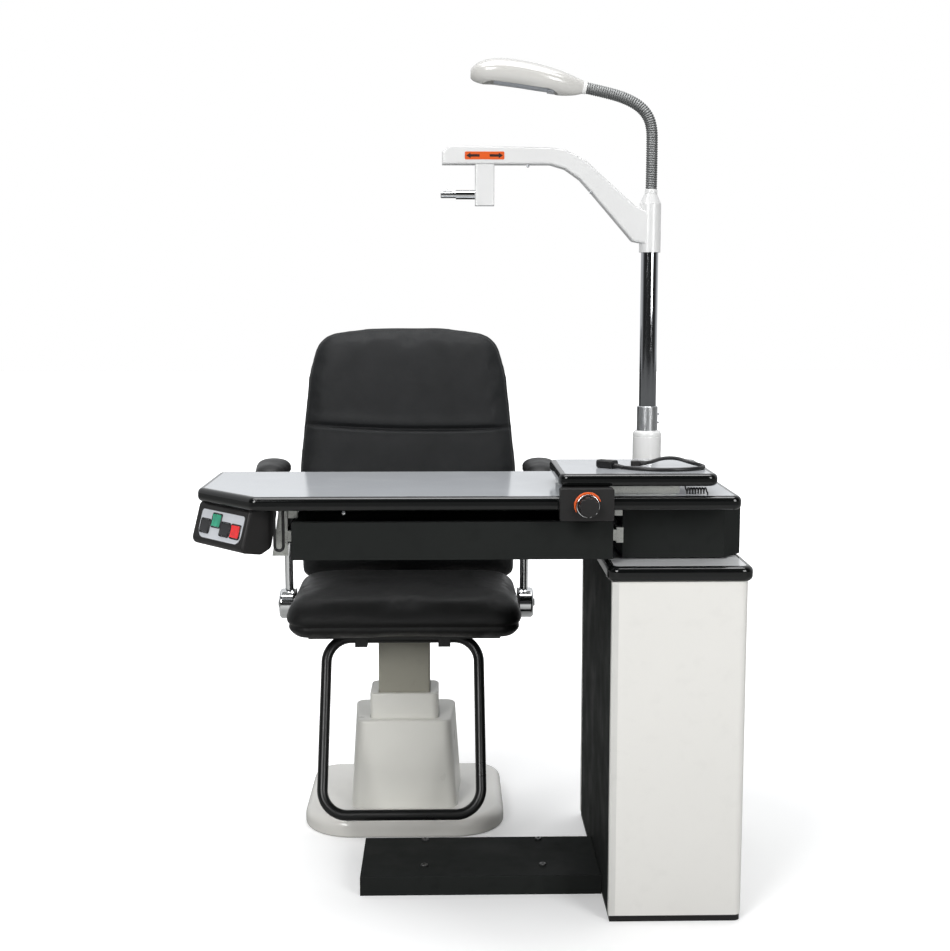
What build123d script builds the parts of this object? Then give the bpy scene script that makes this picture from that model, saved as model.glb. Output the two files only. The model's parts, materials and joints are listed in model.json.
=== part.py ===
"""Ophthalmic refraction unit: pedestal cabinet, swinging instrument table, phoropter arm with
reading lamp, and an electric patient chair. Millimetres, +Z up, +Y away from the operator.
The origin is on the floor, at the centre of the cabinet."""

from build123d import *
from math import atan2, cos, degrees, hypot, pi, radians, sin, tan
import os

os.makedirs("parts", exist_ok=True)

# ---- driving dimensions -------------------------------------------------------------------
RUN_FIT = 0.05  # radial clearance of a shaft in its bore
GAP = 0.3  # clearance beside a sliding or soft neighbour

CABINET_W, CABINET_D, CABINET_TOP_Z = 246.0, 540.0, 637.0
PLINTH_H, COVER_T, TRIM_W = 12.0, 2.0, 12.0
SLAB_Z, SLAB_T, SLAB_LIP, EDGE_W = 637.0, 28.0, 8.0, 12.0

BASE_X0, BASE_X1, BASE_Y0, BASE_Y1, BASE_H, BASE_T = -587.0, -122.0, -147.0, 50.0, 38.0, 3.0

SWING_X, SWING_Y = 15.0, -50.0
BEARING_R, BEARING_T, SPIGOT_R, SPIGOT_H = 70.0, 3.0, 20.0, 16.0
BOX_X0, BOX_X1, BOX_Y0, BOX_Y1, BOX_T = -97.0, 128.0, -199.0, 95.0, 2.5
BOX_Z0 = SLAB_Z + SLAB_T + BEARING_T

TABLE_Z, TABLE_T = 768.0, 25.0
TABLE_X0, TABLE_X1, TABLE_Y0, TABLE_Y1 = -878.0, 104.0, -285.0, 99.0
CHAMFER_X, CHAMFER_Y = 117.0, 133.0
TABLE_TOP_Z = TABLE_Z + TABLE_T

DRAWER_X0, DRAWER_X1, DRAWER_Y0, DRAWER_Y1 = -696.0, -120.0, -250.0, 62.0
DRAWER_Z0, DRAWER_Z1, DRAWER_T = 675.0, 743.0, 3.0
SLIDE_Z, SLIDE_Y0 = 712.0, -210.0

POD_W, POD_DEPTH, POD_H, POD_LEAN = 168.0, 61.0, 76.0, 22.353
POD_CORNER = (-766.0, -262.0)
PANEL_W, PANEL_H, PANEL_T, PANEL_GAP = 140.0, 52.0, 2.0, 0.2
PANEL_ALONG, PANEL_DOWN = 88.0, 39.44
ROCKER_W, ROCKER_H, ROCKER_T, ROCKER_GAP = 26.0, 22.0, 8.0, 0.5
ROCKER_PLACES = ((-50.0, -4.0), (-16.0, 9.0), (16.0, -4.0), (50.0, -4.0))

TRAY_X0, TRAY_X1, TRAY_Y0, TRAY_Y1 = -221.0, 61.0, -286.0, -41.0
TRAY_Z, TRAY_T = 810.6, 22.0
TRAY_TOP_Z = TRAY_Z + TRAY_T
RAIL_X0, RAIL_X1, RAIL_W, RAIL_T = -205.0, -10.0, 20.0, 7.0
RAIL_Y = (-248.0, -79.0)
LOCK_X0, LOCK_X1, LOCK_Y0, LOCK_Y1, LOCK_Z0 = -221.0, -126.0, -309.0, -287.0, 753.0
KNOB_X, KNOB_Z, KNOB_R, KNOB_L = -172.0, 780.0, 19.0, 21.0

POLE_Y, POLE_R, POLE_Z0, POLE_Z1 = 180.0, 17.75, 420.0, 1320.0
COLLAR_R, COLLAR_Z1, CLAMP_Z1, CLAMP_R = 29.5, 868.0, 918.0, 21.5
HOUSING_R, HOUSING_Z0, HOUSING_Z1, CONE_Z1 = 22.0, 1234.0, 1332.0, 1352.0
ARM_W, ARM_BOTTOM_Z, SLOT_W, SLOT_DEPTH = 40.0, 1410.0, 14.0, 12.0
SLOT_X0, SLOT_X1 = -411.0, -247.0
HANGER_X0, HANGER_X1, HANGER_Z0, HANGER_W = -359.0, -320.0, 1328.0, 34.0
PIN_Z, PIN_R, PIN_L, NOSE_R, NOSE_L = 1350.0, 9.5, 39.0, 7.0, 31.0
LATCH_X, LATCH_R = -417.0, 2.0
NECK_R = 11.0

CHAIR_X, COLUMN_Y = -512.0, 306.0
COLUMN_W, COLUMN_D, COLUMN_Z0, COLUMN_Z1, COLUMN_T = 112.0, 88.0, 120.0, 437.0, 4.0
SLEEVE_W, SLEEVE_D, SLEEVE_Z0, SLEEVE_Z1, SLEEVE_T = 150.0, 112.0, 92.0, 285.0, 4.0
SHROUD_Z0, SHROUD_Z1, SHROUD_T = 40.0, 229.0, 4.0
FOOT_W, FOOT_D, FOOT_Y, FOOT_H = 434.0, 380.0, 331.0, 40.0
ACTUATOR_R, ROD_R = 22.0, 12.0

SEAT_W, SEAT_Y0, SEAT_Y1, SEAT_Z0, SEAT_Z1 = 486.0, 75.0, 423.0, 447.0, 545.0
SEAT_X = -507.0
BACK_Y, BACK_T, BACK_LEAN, BACK_Z0 = 462.0, 72.0, 4.0, 502.0
HUB_Y, HUB_Z, HUB_R, HUB_PIN_R = 320.0, 472.0, 33.0, 8.0
PAD_L, PAD_W, PAD_Z0, PAD_H, PAD_Y, PAD_OFFSET = 200.0, 72.0, 757.0, 38.0, 312.0, 294.0
LOOP_R, LOOP_Y, LOOP_Z, LOOP_W, LOOP_LEAN, LOOP_LONG = 11.0, 190.0, 424.4, 321.0, 25.0, 367.0


def save(builder, label):
    """Labels one finished piece and writes it to its own file."""
    builder.part.label = label
    export_step(builder.part, f"parts/{label}.step")


def edge_band(outline, width, z, height, nose):
    """A moulded edge strip of the outline's shape, with a rounded outer nose."""
    with BuildPart() as band:
        with BuildSketch(Plane.XY.offset(z)):
            add(outline)
            offset(outline, amount=-width, mode=Mode.SUBTRACT)
        extrude(amount=height)
        outer = band.faces().filter_by(GeomType.PLANE).sort_by(Axis.Z)[-1].outer_wire().edges()
        lower = band.faces().filter_by(GeomType.PLANE).sort_by(Axis.Z)[0].outer_wire().edges()
        fillet(outer + lower, radius=nose)
    return band


def slab(outline, width, z, height):
    """The laminated board inside an edge strip."""
    with BuildPart() as board:
        with BuildSketch(Plane.XY.offset(z)):
            offset(outline, amount=-width)
        extrude(amount=height)
    return board


# ---- cabinet ------------------------------------------------------------------------------
HALF_W, HALF_D = CABINET_W / 2, CABINET_D / 2

with BuildPart() as cabinet_plinth:
    Box(CABINET_W - 4, CABINET_D - 4, PLINTH_H, align=(Align.CENTER, Align.CENTER, Align.MIN))
    fillet(cabinet_plinth.edges().filter_by(Axis.Z).group_by(Axis.X)[-1], radius=12)
save(cabinet_plinth, "cabinet_plinth")

INLET_W, INLET_H, INLET_Z = 48.0, 28.0, 90.0
COVER_X0 = -HALF_W + TRIM_W
with BuildPart() as cabinet_cover:
    with BuildSketch(Plane.XY.offset(PLINTH_H)):
        with Locations(((COVER_X0 + HALF_W) / 2, 0)):
            Rectangle(HALF_W - COVER_X0, CABINET_D)
        fillet(vertices().group_by(Axis.X)[-1], radius=15)
    extrude(amount=CABINET_TOP_Z - PLINTH_H)
    with BuildSketch(Plane.XY.offset(PLINTH_H + COVER_T)):
        with Locations(((COVER_X0 + HALF_W) / 2 - COVER_T, 0)):
            Rectangle(HALF_W - COVER_X0, CABINET_D - 2 * COVER_T)
        fillet(vertices().group_by(Axis.X)[-1], radius=13)
    extrude(amount=CABINET_TOP_Z, mode=Mode.SUBTRACT)
    with BuildSketch(Plane.XY.offset(PLINTH_H)):
        with Locations(((COVER_X0 + HALF_W) / 2 - 20, 0)):
            Rectangle(HALF_W - COVER_X0, CABINET_D - 40)
    extrude(amount=COVER_T, mode=Mode.SUBTRACT)
    with BuildSketch(Plane.XZ.offset(-HALF_D + 5)):
        with Locations((0, INLET_Z)):
            Rectangle(INLET_W + 0.4, INLET_H + 0.4)
    extrude(amount=-20, mode=Mode.SUBTRACT)
save(cabinet_cover, "cabinet_cover")

with BuildPart() as cabinet_trims:
    for side in (-1, 1):
        with BuildSketch(Plane.XY.offset(PLINTH_H)):
            with Locations((-HALF_W + TRIM_W / 2, side * (HALF_D - 1))):
                Rectangle(TRIM_W, 2)
            with Locations((-HALF_W + 1, side * (HALF_D - 7.5))):
                Rectangle(2, 15)
        extrude(amount=CABINET_TOP_Z - PLINTH_H)
save(cabinet_trims, "cabinet_trims")

with BuildPart() as cabinet_side_panel:
    with Locations((-HALF_W + 1, 0, PLINTH_H)):
        Box(3, CABINET_D - 30, CABINET_TOP_Z - PLINTH_H,
            align=(Align.MIN, Align.CENTER, Align.MIN))
save(cabinet_side_panel, "cabinet_side_panel")

with BuildSketch() as cabinet_outline:
    RectangleRounded(CABINET_W + 2 * SLAB_LIP, CABINET_D + 2 * SLAB_LIP, 22)
cabinet_top_edge = edge_band(cabinet_outline.sketch, EDGE_W, SLAB_Z, SLAB_T, 10)
save(cabinet_top_edge, "cabinet_top_edge")

with BuildPart() as cabinet_top:
    with BuildSketch(Plane.XY.offset(SLAB_Z)):
        offset(cabinet_outline.sketch, amount=-EDGE_W)
    extrude(amount=SLAB_T)
    with Locations((0, POLE_Y, SLAB_Z + SLAB_T)):
        Hole(POLE_R + 1.5)
save(cabinet_top, "cabinet_top")

with BuildPart() as power_supply:
    with Locations((10, -120, PLINTH_H)):
        Box(130, 150, 3, align=(Align.CENTER, Align.CENTER, Align.MIN))
        with Locations((0, 0, 3)):
            Box(110, 120, 92, align=(Align.CENTER, Align.CENTER, Align.MIN))
    chamfer(power_supply.edges().group_by(Axis.Z)[-1], length=3)
save(power_supply, "power_supply")

with BuildPart() as mains_inlet:
    with Locations((0, HALF_D + 3, INLET_Z)):
        Box(INLET_W + 14, 3, INLET_H + 14, align=(Align.CENTER, Align.MAX, Align.CENTER))
    with Locations((0, HALF_D, INLET_Z)):
        Box(INLET_W, 30, INLET_H, align=(Align.CENTER, Align.MAX, Align.CENTER))
    with Locations((0, HALF_D + 3, INLET_Z)):
        Box(25, 18, 18, align=(Align.CENTER, Align.MAX, Align.CENTER), mode=Mode.SUBTRACT)
    for x in (-7, 0, 7):
        with Locations((x, HALF_D - 15, INLET_Z)):
            Box(2, 14, 5, align=(Align.CENTER, Align.MIN, Align.CENTER))
save(mains_inlet, "mains_inlet")

with BuildPart() as base_plate:
    with BuildSketch(Plane.XY):
        with Locations(((BASE_X0 + BASE_X1) / 2, (BASE_Y0 + BASE_Y1) / 2)):
            Rectangle(BASE_X1 - BASE_X0, BASE_Y1 - BASE_Y0)
    extrude(amount=BASE_H)
    with BuildSketch(Plane.XY):
        with Locations(((BASE_X0 + BASE_X1) / 2, (BASE_Y0 + BASE_Y1) / 2)):
            Rectangle(BASE_X1 - BASE_X0 - 2 * BASE_T, BASE_Y1 - BASE_Y0 - 2 * BASE_T)
    extrude(amount=BASE_H - BASE_T, mode=Mode.SUBTRACT)
    fillet(base_plate.edges().group_by(Axis.Z)[-1], radius=2)
    with Locations(*[(x, y, BASE_H) for x in (-464, -232) for y in (-96, 35)]):
        Hole(4.2)
save(base_plate, "base_plate")

with BuildPart() as base_plate_screws:
    with Locations(*[(x, y, BASE_H) for x in (-464, -232) for y in (-96, 35)]):
        Cylinder(7, 3.5, align=(Align.CENTER, Align.CENTER, Align.MIN))
        Cylinder(4, 12, align=(Align.CENTER, Align.CENTER, Align.MAX))
    fillet(base_plate_screws.faces().group_by(Axis.Z)[-1].edges(), radius=1.5)
    with Locations(*[(x, y, BASE_H + 3.5) for x in (-464, -232) for y in (-96, 35)]):
        with BuildSketch(Plane.XY.offset(BASE_H + 3.5)):
            for x in (-464, -232):
                for y in (-96, 35):
                    with Locations((x, y)):
                        RegularPolygon(2.9, 6)
    extrude(amount=-2.2, mode=Mode.SUBTRACT)
save(base_plate_screws, "base_plate_screws")

with BuildPart() as swing_bearing:
    with Locations((SWING_X, SWING_Y, SLAB_Z + SLAB_T)):
        Cylinder(BEARING_R, BEARING_T, align=(Align.CENTER, Align.CENTER, Align.MIN))
        Cylinder(SPIGOT_R, SPIGOT_H, align=(Align.CENTER, Align.CENTER, Align.MIN))
    chamfer(swing_bearing.faces().sort_by(Axis.Z)[-1].edges(), length=1)
save(swing_bearing, "swing_bearing")

with BuildPart() as pole_collar:
    with BuildSketch(Plane.XZ.offset(-POLE_Y)):
        with BuildLine():
            Polyline((POLE_R + RUN_FIT, SLAB_Z + SLAB_T), (COLLAR_R + 2, SLAB_Z + SLAB_T),
                     (COLLAR_R + 2, SLAB_Z + SLAB_T + 4), (COLLAR_R, SLAB_Z + SLAB_T + 7),
                     (COLLAR_R, COLLAR_Z1 - 14), (COLLAR_R - 0.8, COLLAR_Z1 - 13),
                     (COLLAR_R, COLLAR_Z1 - 12), (COLLAR_R, COLLAR_Z1 - 8))
            RadiusArc((COLLAR_R, COLLAR_Z1 - 8), (COLLAR_R - 8, COLLAR_Z1), -8)
            Polyline((COLLAR_R - 8, COLLAR_Z1), (POLE_R + RUN_FIT, COLLAR_Z1),
                     (POLE_R + RUN_FIT, SLAB_Z + SLAB_T))
        make_face()
    revolve(axis=Axis((0, POLE_Y, 0), (0, 0, 1)))
save(pole_collar, "pole_collar")

# ---- instrument table ---------------------------------------------------------------------
with BuildPart() as upper_box:
    with BuildSketch(Plane.XY.offset(BOX_Z0)) as box_outline:
        with BuildLine():
            Polyline((BOX_X0, BOX_Y0), (BOX_X1 - 38, BOX_Y0), (BOX_X1, BOX_Y0 + 45),
                     (BOX_X1, BOX_Y1), (BOX_X0, BOX_Y1), close=True)
        make_face()
    extrude(amount=TABLE_Z - BOX_Z0)
    with BuildSketch(Plane.XY.offset(BOX_Z0 + BOX_T)):
        offset(box_outline.sketch, amount=-BOX_T)
    extrude(amount=TABLE_Z, mode=Mode.SUBTRACT)
    with Locations((SWING_X, SWING_Y, BOX_Z0 + BOX_T)):
        Hole(SPIGOT_R + RUN_FIT)
save(upper_box, "upper_box")

with BuildSketch() as table_outline:
    with BuildLine():
        Polyline((TABLE_X0 + CHAMFER_X, TABLE_Y0), (TABLE_X1, TABLE_Y0), (TABLE_X1, TABLE_Y1),
                 (TABLE_X0, TABLE_Y1), (TABLE_X0, TABLE_Y0 + CHAMFER_Y), close=True)
    make_face()
    fillet(table_outline.vertices(), radius=16)
table_edge = edge_band(table_outline.sketch, EDGE_W, TABLE_Z, TABLE_T, 9)
save(table_edge, "table_edge")
table_top = slab(table_outline.sketch, EDGE_W, TABLE_Z, TABLE_T)
save(table_top, "table_top")

# The pod hangs under the chamfered corner: ALONG runs beside the chamfer, INWARD faces it.
CHAMFER = hypot(CHAMFER_X, CHAMFER_Y)
ALONG = Vector(CHAMFER_X / CHAMFER, -CHAMFER_Y / CHAMFER, 0)
INWARD = Vector(CHAMFER_Y / CHAMFER, CHAMFER_X / CHAMFER, 0)
POD_START = Vector(POD_CORNER[0], POD_CORNER[1], TABLE_Z) - ALONG * POD_W
FACE_UP = (INWARD * POD_LEAN + Vector(0, 0, POD_H)).normalized()
FACE_OUT = ALONG.cross(FACE_UP)
PANEL_CENTRE = POD_START + ALONG * PANEL_ALONG - FACE_UP * PANEL_DOWN
PANEL_PLANE = Plane(PANEL_CENTRE, x_dir=ALONG, z_dir=FACE_OUT)

with BuildSketch() as panel:
    Rectangle(PANEL_W, PANEL_H)
    fillet(panel.vertices().group_by(Axis.Y)[-1], radius=6)
    fillet(panel.vertices().group_by(Axis.Y)[0], radius=18)
panel_outline = panel.sketch

with BuildPart() as control_pod:
    with BuildSketch(Plane(POD_START, x_dir=INWARD, z_dir=ALONG)):
        with BuildLine():
            Polyline((0, 0), (-POD_LEAN, -POD_H), (POD_DEPTH - 38, -POD_H - 8),
                     (POD_DEPTH - 16, -POD_H + 2), (POD_DEPTH, 0), close=True)
        make_face()
        fillet(vertices().group_by(Axis.Z)[0], radius=12)
    extrude(amount=POD_W)
    fillet(control_pod.faces().filter_by(Plane(POD_START, x_dir=INWARD, z_dir=ALONG)).edges()
           .filter_by(GeomType.LINE).group_by(Axis.Z)[0], radius=5)
    with BuildSketch(PANEL_PLANE):
        offset(panel_outline, amount=PANEL_GAP)
    extrude(amount=-PANEL_T, mode=Mode.SUBTRACT)
    with BuildSketch(PANEL_PLANE):
        Rectangle(PANEL_W - 6, PANEL_H - 6)
    extrude(amount=-24, mode=Mode.SUBTRACT)
save(control_pod, "control_pod")

with BuildPart() as control_panel:
    with BuildSketch(PANEL_PLANE):
        add(panel_outline)
        with Locations(*ROCKER_PLACES):
            Rectangle(ROCKER_W + 2 * ROCKER_GAP, ROCKER_H + 2 * ROCKER_GAP, mode=Mode.SUBTRACT)
    extrude(amount=-PANEL_T)
save(control_panel, "control_panel")

for number, (along, up) in enumerate(ROCKER_PLACES, start=1):
    pivot = PANEL_PLANE.origin + ALONG * along + FACE_UP * up - FACE_OUT * 1.0
    with BuildPart() as rocker:
        with BuildSketch(Plane(pivot - ALONG * (ROCKER_W / 2), x_dir=FACE_OUT, z_dir=ALONG)):
            with BuildLine():
                Polyline((-ROCKER_T + 1, -9), (2.2, -ROCKER_H / 2), (3.6, -ROCKER_H / 2))
                ThreePointArc((3.6, -ROCKER_H / 2), (2.8, 0), (3.6, ROCKER_H / 2))
                Polyline((3.6, ROCKER_H / 2), (2.2, ROCKER_H / 2), (-ROCKER_T + 1, 9),
                         (-ROCKER_T + 1, -9))
            make_face()
        extrude(amount=ROCKER_W)
    print(f"rocker_{number} pivot_m", [round(v / 1000, 5) for v in pivot])
    save(rocker, f"rocker_{number}")
print("rocker axis", [round(v, 5) for v in ALONG])

CABLE_Y = -245.0
with BuildPart() as pod_cable:
    with BuildLine() as cable_path:
        FilletPolyline((-710.5, CABLE_Y, TABLE_Z), (-710.5, CABLE_Y, 692),
                       (-726, CABLE_Y, 692), (-726, CABLE_Y, TABLE_Z), radius=7.5)
    with BuildSketch(Plane(cable_path.line @ 0, z_dir=cable_path.line % 0)):
        Circle(3)
    sweep()
save(pod_cable, "pod_cable")

RAIL_LIMITS = ((DRAWER_X0, -1), (DRAWER_X1, 1))
with BuildPart() as drawer_rails:
    for x, out in RAIL_LIMITS:
        with Locations((x + out * 10.6, SLIDE_Y0, SLIDE_Z)):
            Box(12.4, 280, 28,
                align=(Align.MIN if out > 0 else Align.MAX, Align.MIN, Align.CENTER))
    with Locations((DRAWER_X0 - 10.6 - 12.4, SLIDE_Y0, 676)):
        Box(3, 280, TABLE_Z - 676, align=(Align.MAX, Align.MIN, Align.MIN))
    with BuildSketch(Plane.XZ.offset(-SLIDE_Y0)):
        with BuildLine():
            Polyline((-706.6, 676), (-706.6, TABLE_Z), (-721, TABLE_Z), (-735, 676), close=True)
        make_face()
    extrude(amount=-3)
    with Locations((-697, SLIDE_Y0 + 8, DRAWER_Z1 + 2)):
        Box(17, 16, TABLE_Z - DRAWER_Z1 - 2, align=(Align.CENTER, Align.CENTER, Align.MIN))
    with Locations((-106, SLIDE_Y0 + 6, 748)):
        Box(14, 12, TABLE_Z - 748, align=(Align.CENTER, Align.CENTER, Align.MIN))
save(drawer_rails, "drawer_rails")

with BuildPart() as tray_rails:
    with Locations(*[((RAIL_X0 + RAIL_X1) / 2, y, TABLE_TOP_Z) for y in RAIL_Y]):
        Box(RAIL_X1 - RAIL_X0, RAIL_W, RAIL_T, align=(Align.CENTER, Align.CENTER, Align.MIN))
    chamfer(tray_rails.faces().group_by(Axis.Z)[-1].edges(), length=0.6)
save(tray_rails, "tray_rails")

LEAD_R, LEAD_X0, LEAD_X1, LEAD_Y = 7.3, 4.0, 46.0, -262.0
with BuildPart() as curly_lead:
    with Locations(((LEAD_X0 + LEAD_X1) / 2, LEAD_Y, TABLE_TOP_Z + LEAD_R)):
        Cylinder(LEAD_R, LEAD_X1 - LEAD_X0, rotation=(0, 90, 0))
save(curly_lead, "curly_lead")

# ---- lens drawer and its telescopic slides ------------------------------------------------
with BuildPart() as drawer_box:
    with Locations(((DRAWER_X0 + DRAWER_X1) / 2, (DRAWER_Y0 + DRAWER_Y1) / 2, DRAWER_Z0)):
        Box(DRAWER_X1 - DRAWER_X0, DRAWER_Y1 - DRAWER_Y0, DRAWER_Z1 - DRAWER_Z0,
            align=(Align.CENTER, Align.CENTER, Align.MIN))
    fillet(drawer_box.edges().filter_by(Axis.Z), radius=2)
    with Locations(((DRAWER_X0 + DRAWER_X1) / 2, (DRAWER_Y0 + DRAWER_Y1) / 2,
                    DRAWER_Z0 + DRAWER_T)):
        Box(DRAWER_X1 - DRAWER_X0 - 2 * DRAWER_T, DRAWER_Y1 - DRAWER_Y0 - 2 * DRAWER_T,
            DRAWER_Z1 - DRAWER_Z0, align=(Align.CENTER, Align.CENTER, Align.MIN),
            mode=Mode.SUBTRACT)
    with Locations(((DRAWER_X0 + DRAWER_X1) / 2, DRAWER_Y0 + DRAWER_T, DRAWER_Z1 - 2)):
        Box(DRAWER_X1 - DRAWER_X0 - 2 * DRAWER_T, 14, 2,
            align=(Align.CENTER, Align.MIN, Align.MIN))
save(drawer_box, "drawer_box")


def slide_pair(near, thick, height, length):
    """One member of both telescopic slides, so far from the drawer's sides."""
    with BuildPart() as pair:
        for x, out in RAIL_LIMITS:
            with Locations((x + out * near, SLIDE_Y0, SLIDE_Z)):
                Box(thick, length, height,
                    align=(Align.MIN if out > 0 else Align.MAX, Align.MIN, Align.CENTER))
        chamfer(pair.edges().filter_by(Axis.Y), length=0.8)
    return pair


save(slide_pair(0, 4, 14, 270), "drawer_slides")
save(slide_pair(4.3, 6, 20, 275), "drawer_mid_slides")

# ---- sliding tray, lock and lead ----------------------------------------------------------
with BuildSketch() as tray_outline:
    with Locations(((TRAY_X0 + TRAY_X1) / 2, (TRAY_Y0 + TRAY_Y1) / 2)):
        RectangleRounded(TRAY_X1 - TRAY_X0, TRAY_Y1 - TRAY_Y0, 18)
tray_edge = edge_band(tray_outline.sketch, EDGE_W, TRAY_Z, TRAY_T, 8)
save(tray_edge, "tray_edge")

EXIT_X, EXIT_Y, EXIT_Z, GROMMET_L, GROMMET_W, GROMMET_H = -62.0, -156.0, 837.6, 16.0, 14.0, 9.6
CORD_R, GROMMET_BORE = 3.5, 5.0
with BuildPart() as tray_top:
    with BuildSketch(Plane.XY.offset(TRAY_Z)):
        offset(tray_outline.sketch, amount=-EDGE_W)
    extrude(amount=TRAY_T)
    with Locations((EXIT_X - GROMMET_L / 2, EXIT_Y, TRAY_TOP_Z)):
        Hole(GROMMET_BORE)
save(tray_top, "tray_top")

RUNNER_L = RAIL_X1 - RAIL_X0 + 10
with BuildPart() as tray_runner:
    for y in RAIL_Y:
        with Locations(((RAIL_X0 + RAIL_X1) / 2, y, TABLE_TOP_Z + 3)):
            Box(RUNNER_L, RAIL_W + 8, TRAY_Z - TABLE_TOP_Z - 3,
                align=(Align.CENTER, Align.CENTER, Align.MIN))
            Box(RUNNER_L, RAIL_W + 2 * GAP, RAIL_T - 3 + GAP,
                align=(Align.CENTER, Align.CENTER, Align.MIN), mode=Mode.SUBTRACT)
save(tray_runner, "tray_runner")

with BuildPart() as lock_box:
    with Locations(((LOCK_X0 + LOCK_X1) / 2, (LOCK_Y0 + LOCK_Y1) / 2, LOCK_Z0)):
        Box(LOCK_X1 - LOCK_X0, LOCK_Y1 - LOCK_Y0, TRAY_Z - LOCK_Z0,
            align=(Align.CENTER, Align.CENTER, Align.MIN))
    fillet(lock_box.edges().filter_by(Axis.Y), radius=4)
    fillet(lock_box.faces().sort_by(Axis.Y)[0].edges(), radius=1.5)
    with Locations(((LOCK_X0 + LOCK_X1) / 2, LOCK_Y1 - 2, TRAY_Z)):
        Box(LOCK_X1 - LOCK_X0 - 10, 20, 5, align=(Align.CENTER, Align.MIN, Align.MAX))
    with Locations((KNOB_X, LOCK_Y0 + 14, KNOB_Z)):
        Cylinder(4 + RUN_FIT, 16, rotation=(90, 0, 0),
                 align=(Align.CENTER, Align.CENTER, Align.MIN), mode=Mode.SUBTRACT)
save(lock_box, "lock_box")

with BuildPart() as lock_knob:
    with BuildSketch(Plane.XZ.offset(-LOCK_Y0)):
        with Locations((KNOB_X, KNOB_Z)):
            Circle(KNOB_R)
    extrude(amount=5)
    with BuildSketch(Plane.XZ.offset(-LOCK_Y0 + 5)):
        with Locations((KNOB_X, KNOB_Z)):
            Circle(KNOB_R - 1.5)
            with PolarLocations(KNOB_R, 9):
                Circle(3.2, mode=Mode.SUBTRACT)
    extrude(amount=KNOB_L - 5)
    fillet(lock_knob.faces().sort_by(Axis.Y)[0].edges(), radius=1.2)
    with BuildSketch(Plane.XZ.offset(-LOCK_Y0)):
        with Locations((KNOB_X, KNOB_Z)):
            Circle(4)
    extrude(amount=-13)
save(lock_knob, "lock_knob")

with BuildPart() as cord_grommet:
    with Locations((EXIT_X, EXIT_Y, TRAY_TOP_Z)):
        Box(GROMMET_L, GROMMET_W, GROMMET_H, align=(Align.MAX, Align.CENTER, Align.MIN))
    fillet(cord_grommet.faces().sort_by(Axis.X)[0].edges().filter_by(Axis.Z), radius=6)
    fillet(cord_grommet.faces().sort_by(Axis.Z)[-1].edges(), radius=2)
    with Locations((EXIT_X - GROMMET_L / 2, EXIT_Y, TRAY_TOP_Z)):
        Cylinder(GROMMET_BORE - RUN_FIT, 10, align=(Align.CENTER, Align.CENTER, Align.MAX))
save(cord_grommet, "cord_grommet")

# The lead's route: sideways out of the grommet, a low arch, and back along the tray.
CORD_Z = TRAY_TOP_Z + CORD_R + 0.2
CORD_ROUTE = (
    (EXIT_X, EXIT_Y, EXIT_Z),
    (-45, EXIT_Y, EXIT_Z),
    (-22, -153, 846),
    (6, -152, 847),
    (32, -164, 839),
    (50, -188, CORD_Z),
    (47, -216, CORD_Z),
    (26, -237, CORD_Z),
    (-4, -248, CORD_Z),
    (-38, -249, CORD_Z),
    (-70, -238, CORD_Z),
    (-98, -214, CORD_Z),
)


def corner_radii(points):
    """The largest arc that each corner of a route has room for."""
    radii = []
    for before, here, after in zip(points, points[1:], points[2:]):
        back, ahead = Vector(before) - Vector(here), Vector(after) - Vector(here)
        turn = 180 - back.get_angle(ahead)
        radii.append(0.45 * min(back.length, ahead.length) / tan(radians(turn) / 2))
    return radii


CORD_RADII = corner_radii(CORD_ROUTE)
with BuildPart() as tray_cord:
    with BuildLine() as cord_path:
        FilletPolyline(*CORD_ROUTE, radius=CORD_RADII)
    with BuildSketch(Plane(cord_path.line @ 0, z_dir=cord_path.line % 0)):
        Circle(CORD_R)
    sweep()
cord_length = cord_path.wires()[0].length
cord_volume = pi * CORD_R**2 * cord_length
print("cord radii", [round(r, 1) for r in CORD_RADII])
print("cord length", round(cord_length, 1), "volume ratio",
      round(tray_cord.part.volume / cord_volume, 4))
save(tray_cord, "tray_cord")

CONNECTOR_AXIS = (Vector(*CORD_ROUTE[-1]) - Vector(*CORD_ROUTE[-2])).normalized()
CONNECTOR_PLANE = Plane(Vector(*CORD_ROUTE[-1]), x_dir=Vector(0, 0, 1).cross(CONNECTOR_AXIS),
                        z_dir=CONNECTOR_AXIS)
RELIEF_L, RELIEF_SINK, RELIEF_FLARE, RELIEF_LIFT = 20.0, 1.0, 1.6, 2.0
PLUG_L, PLUG_W, PLUG_H = 34.0, 21.0, 15.0
with BuildPart() as cord_connector:
    with BuildSketch(CONNECTOR_PLANE):
        Circle(CORD_R)
    with BuildSketch(CONNECTOR_PLANE.offset(RELIEF_L + RELIEF_SINK)):
        with Locations((0, RELIEF_LIFT)):
            Circle(CORD_R + RELIEF_FLARE)
    loft()
    with BuildSketch(CONNECTOR_PLANE.offset(RELIEF_L)):
        with Locations((0, PLUG_H / 2 - CORD_R)):
            RectangleRounded(PLUG_W, PLUG_H, 5)
    extrude(amount=PLUG_L)
    chamfer(cord_connector.faces().sort_by(Axis(CONNECTOR_PLANE.origin, CONNECTOR_AXIS))[-1]
            .edges(), length=0.6)
    with BuildSketch(CONNECTOR_PLANE.offset(RELIEF_L + PLUG_L)):
        with Locations((0, PLUG_H / 2 - CORD_R)):
            with GridLocations(6, 0.01, 3, 1):
                Rectangle(2.6, 5)
    extrude(amount=-14, mode=Mode.SUBTRACT)
save(cord_connector, "cord_connector")

# ---- pole, arm, hanger and lamp -----------------------------------------------------------
with BuildPart() as pole_tube:
    with BuildSketch(Plane.XY.offset(POLE_Z0)):
        with Locations((0, POLE_Y)):
            Circle(POLE_R)
            Circle(POLE_R - 2.5, mode=Mode.SUBTRACT)
    extrude(amount=POLE_Z1 - POLE_Z0)
save(pole_tube, "pole_tube")

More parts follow.
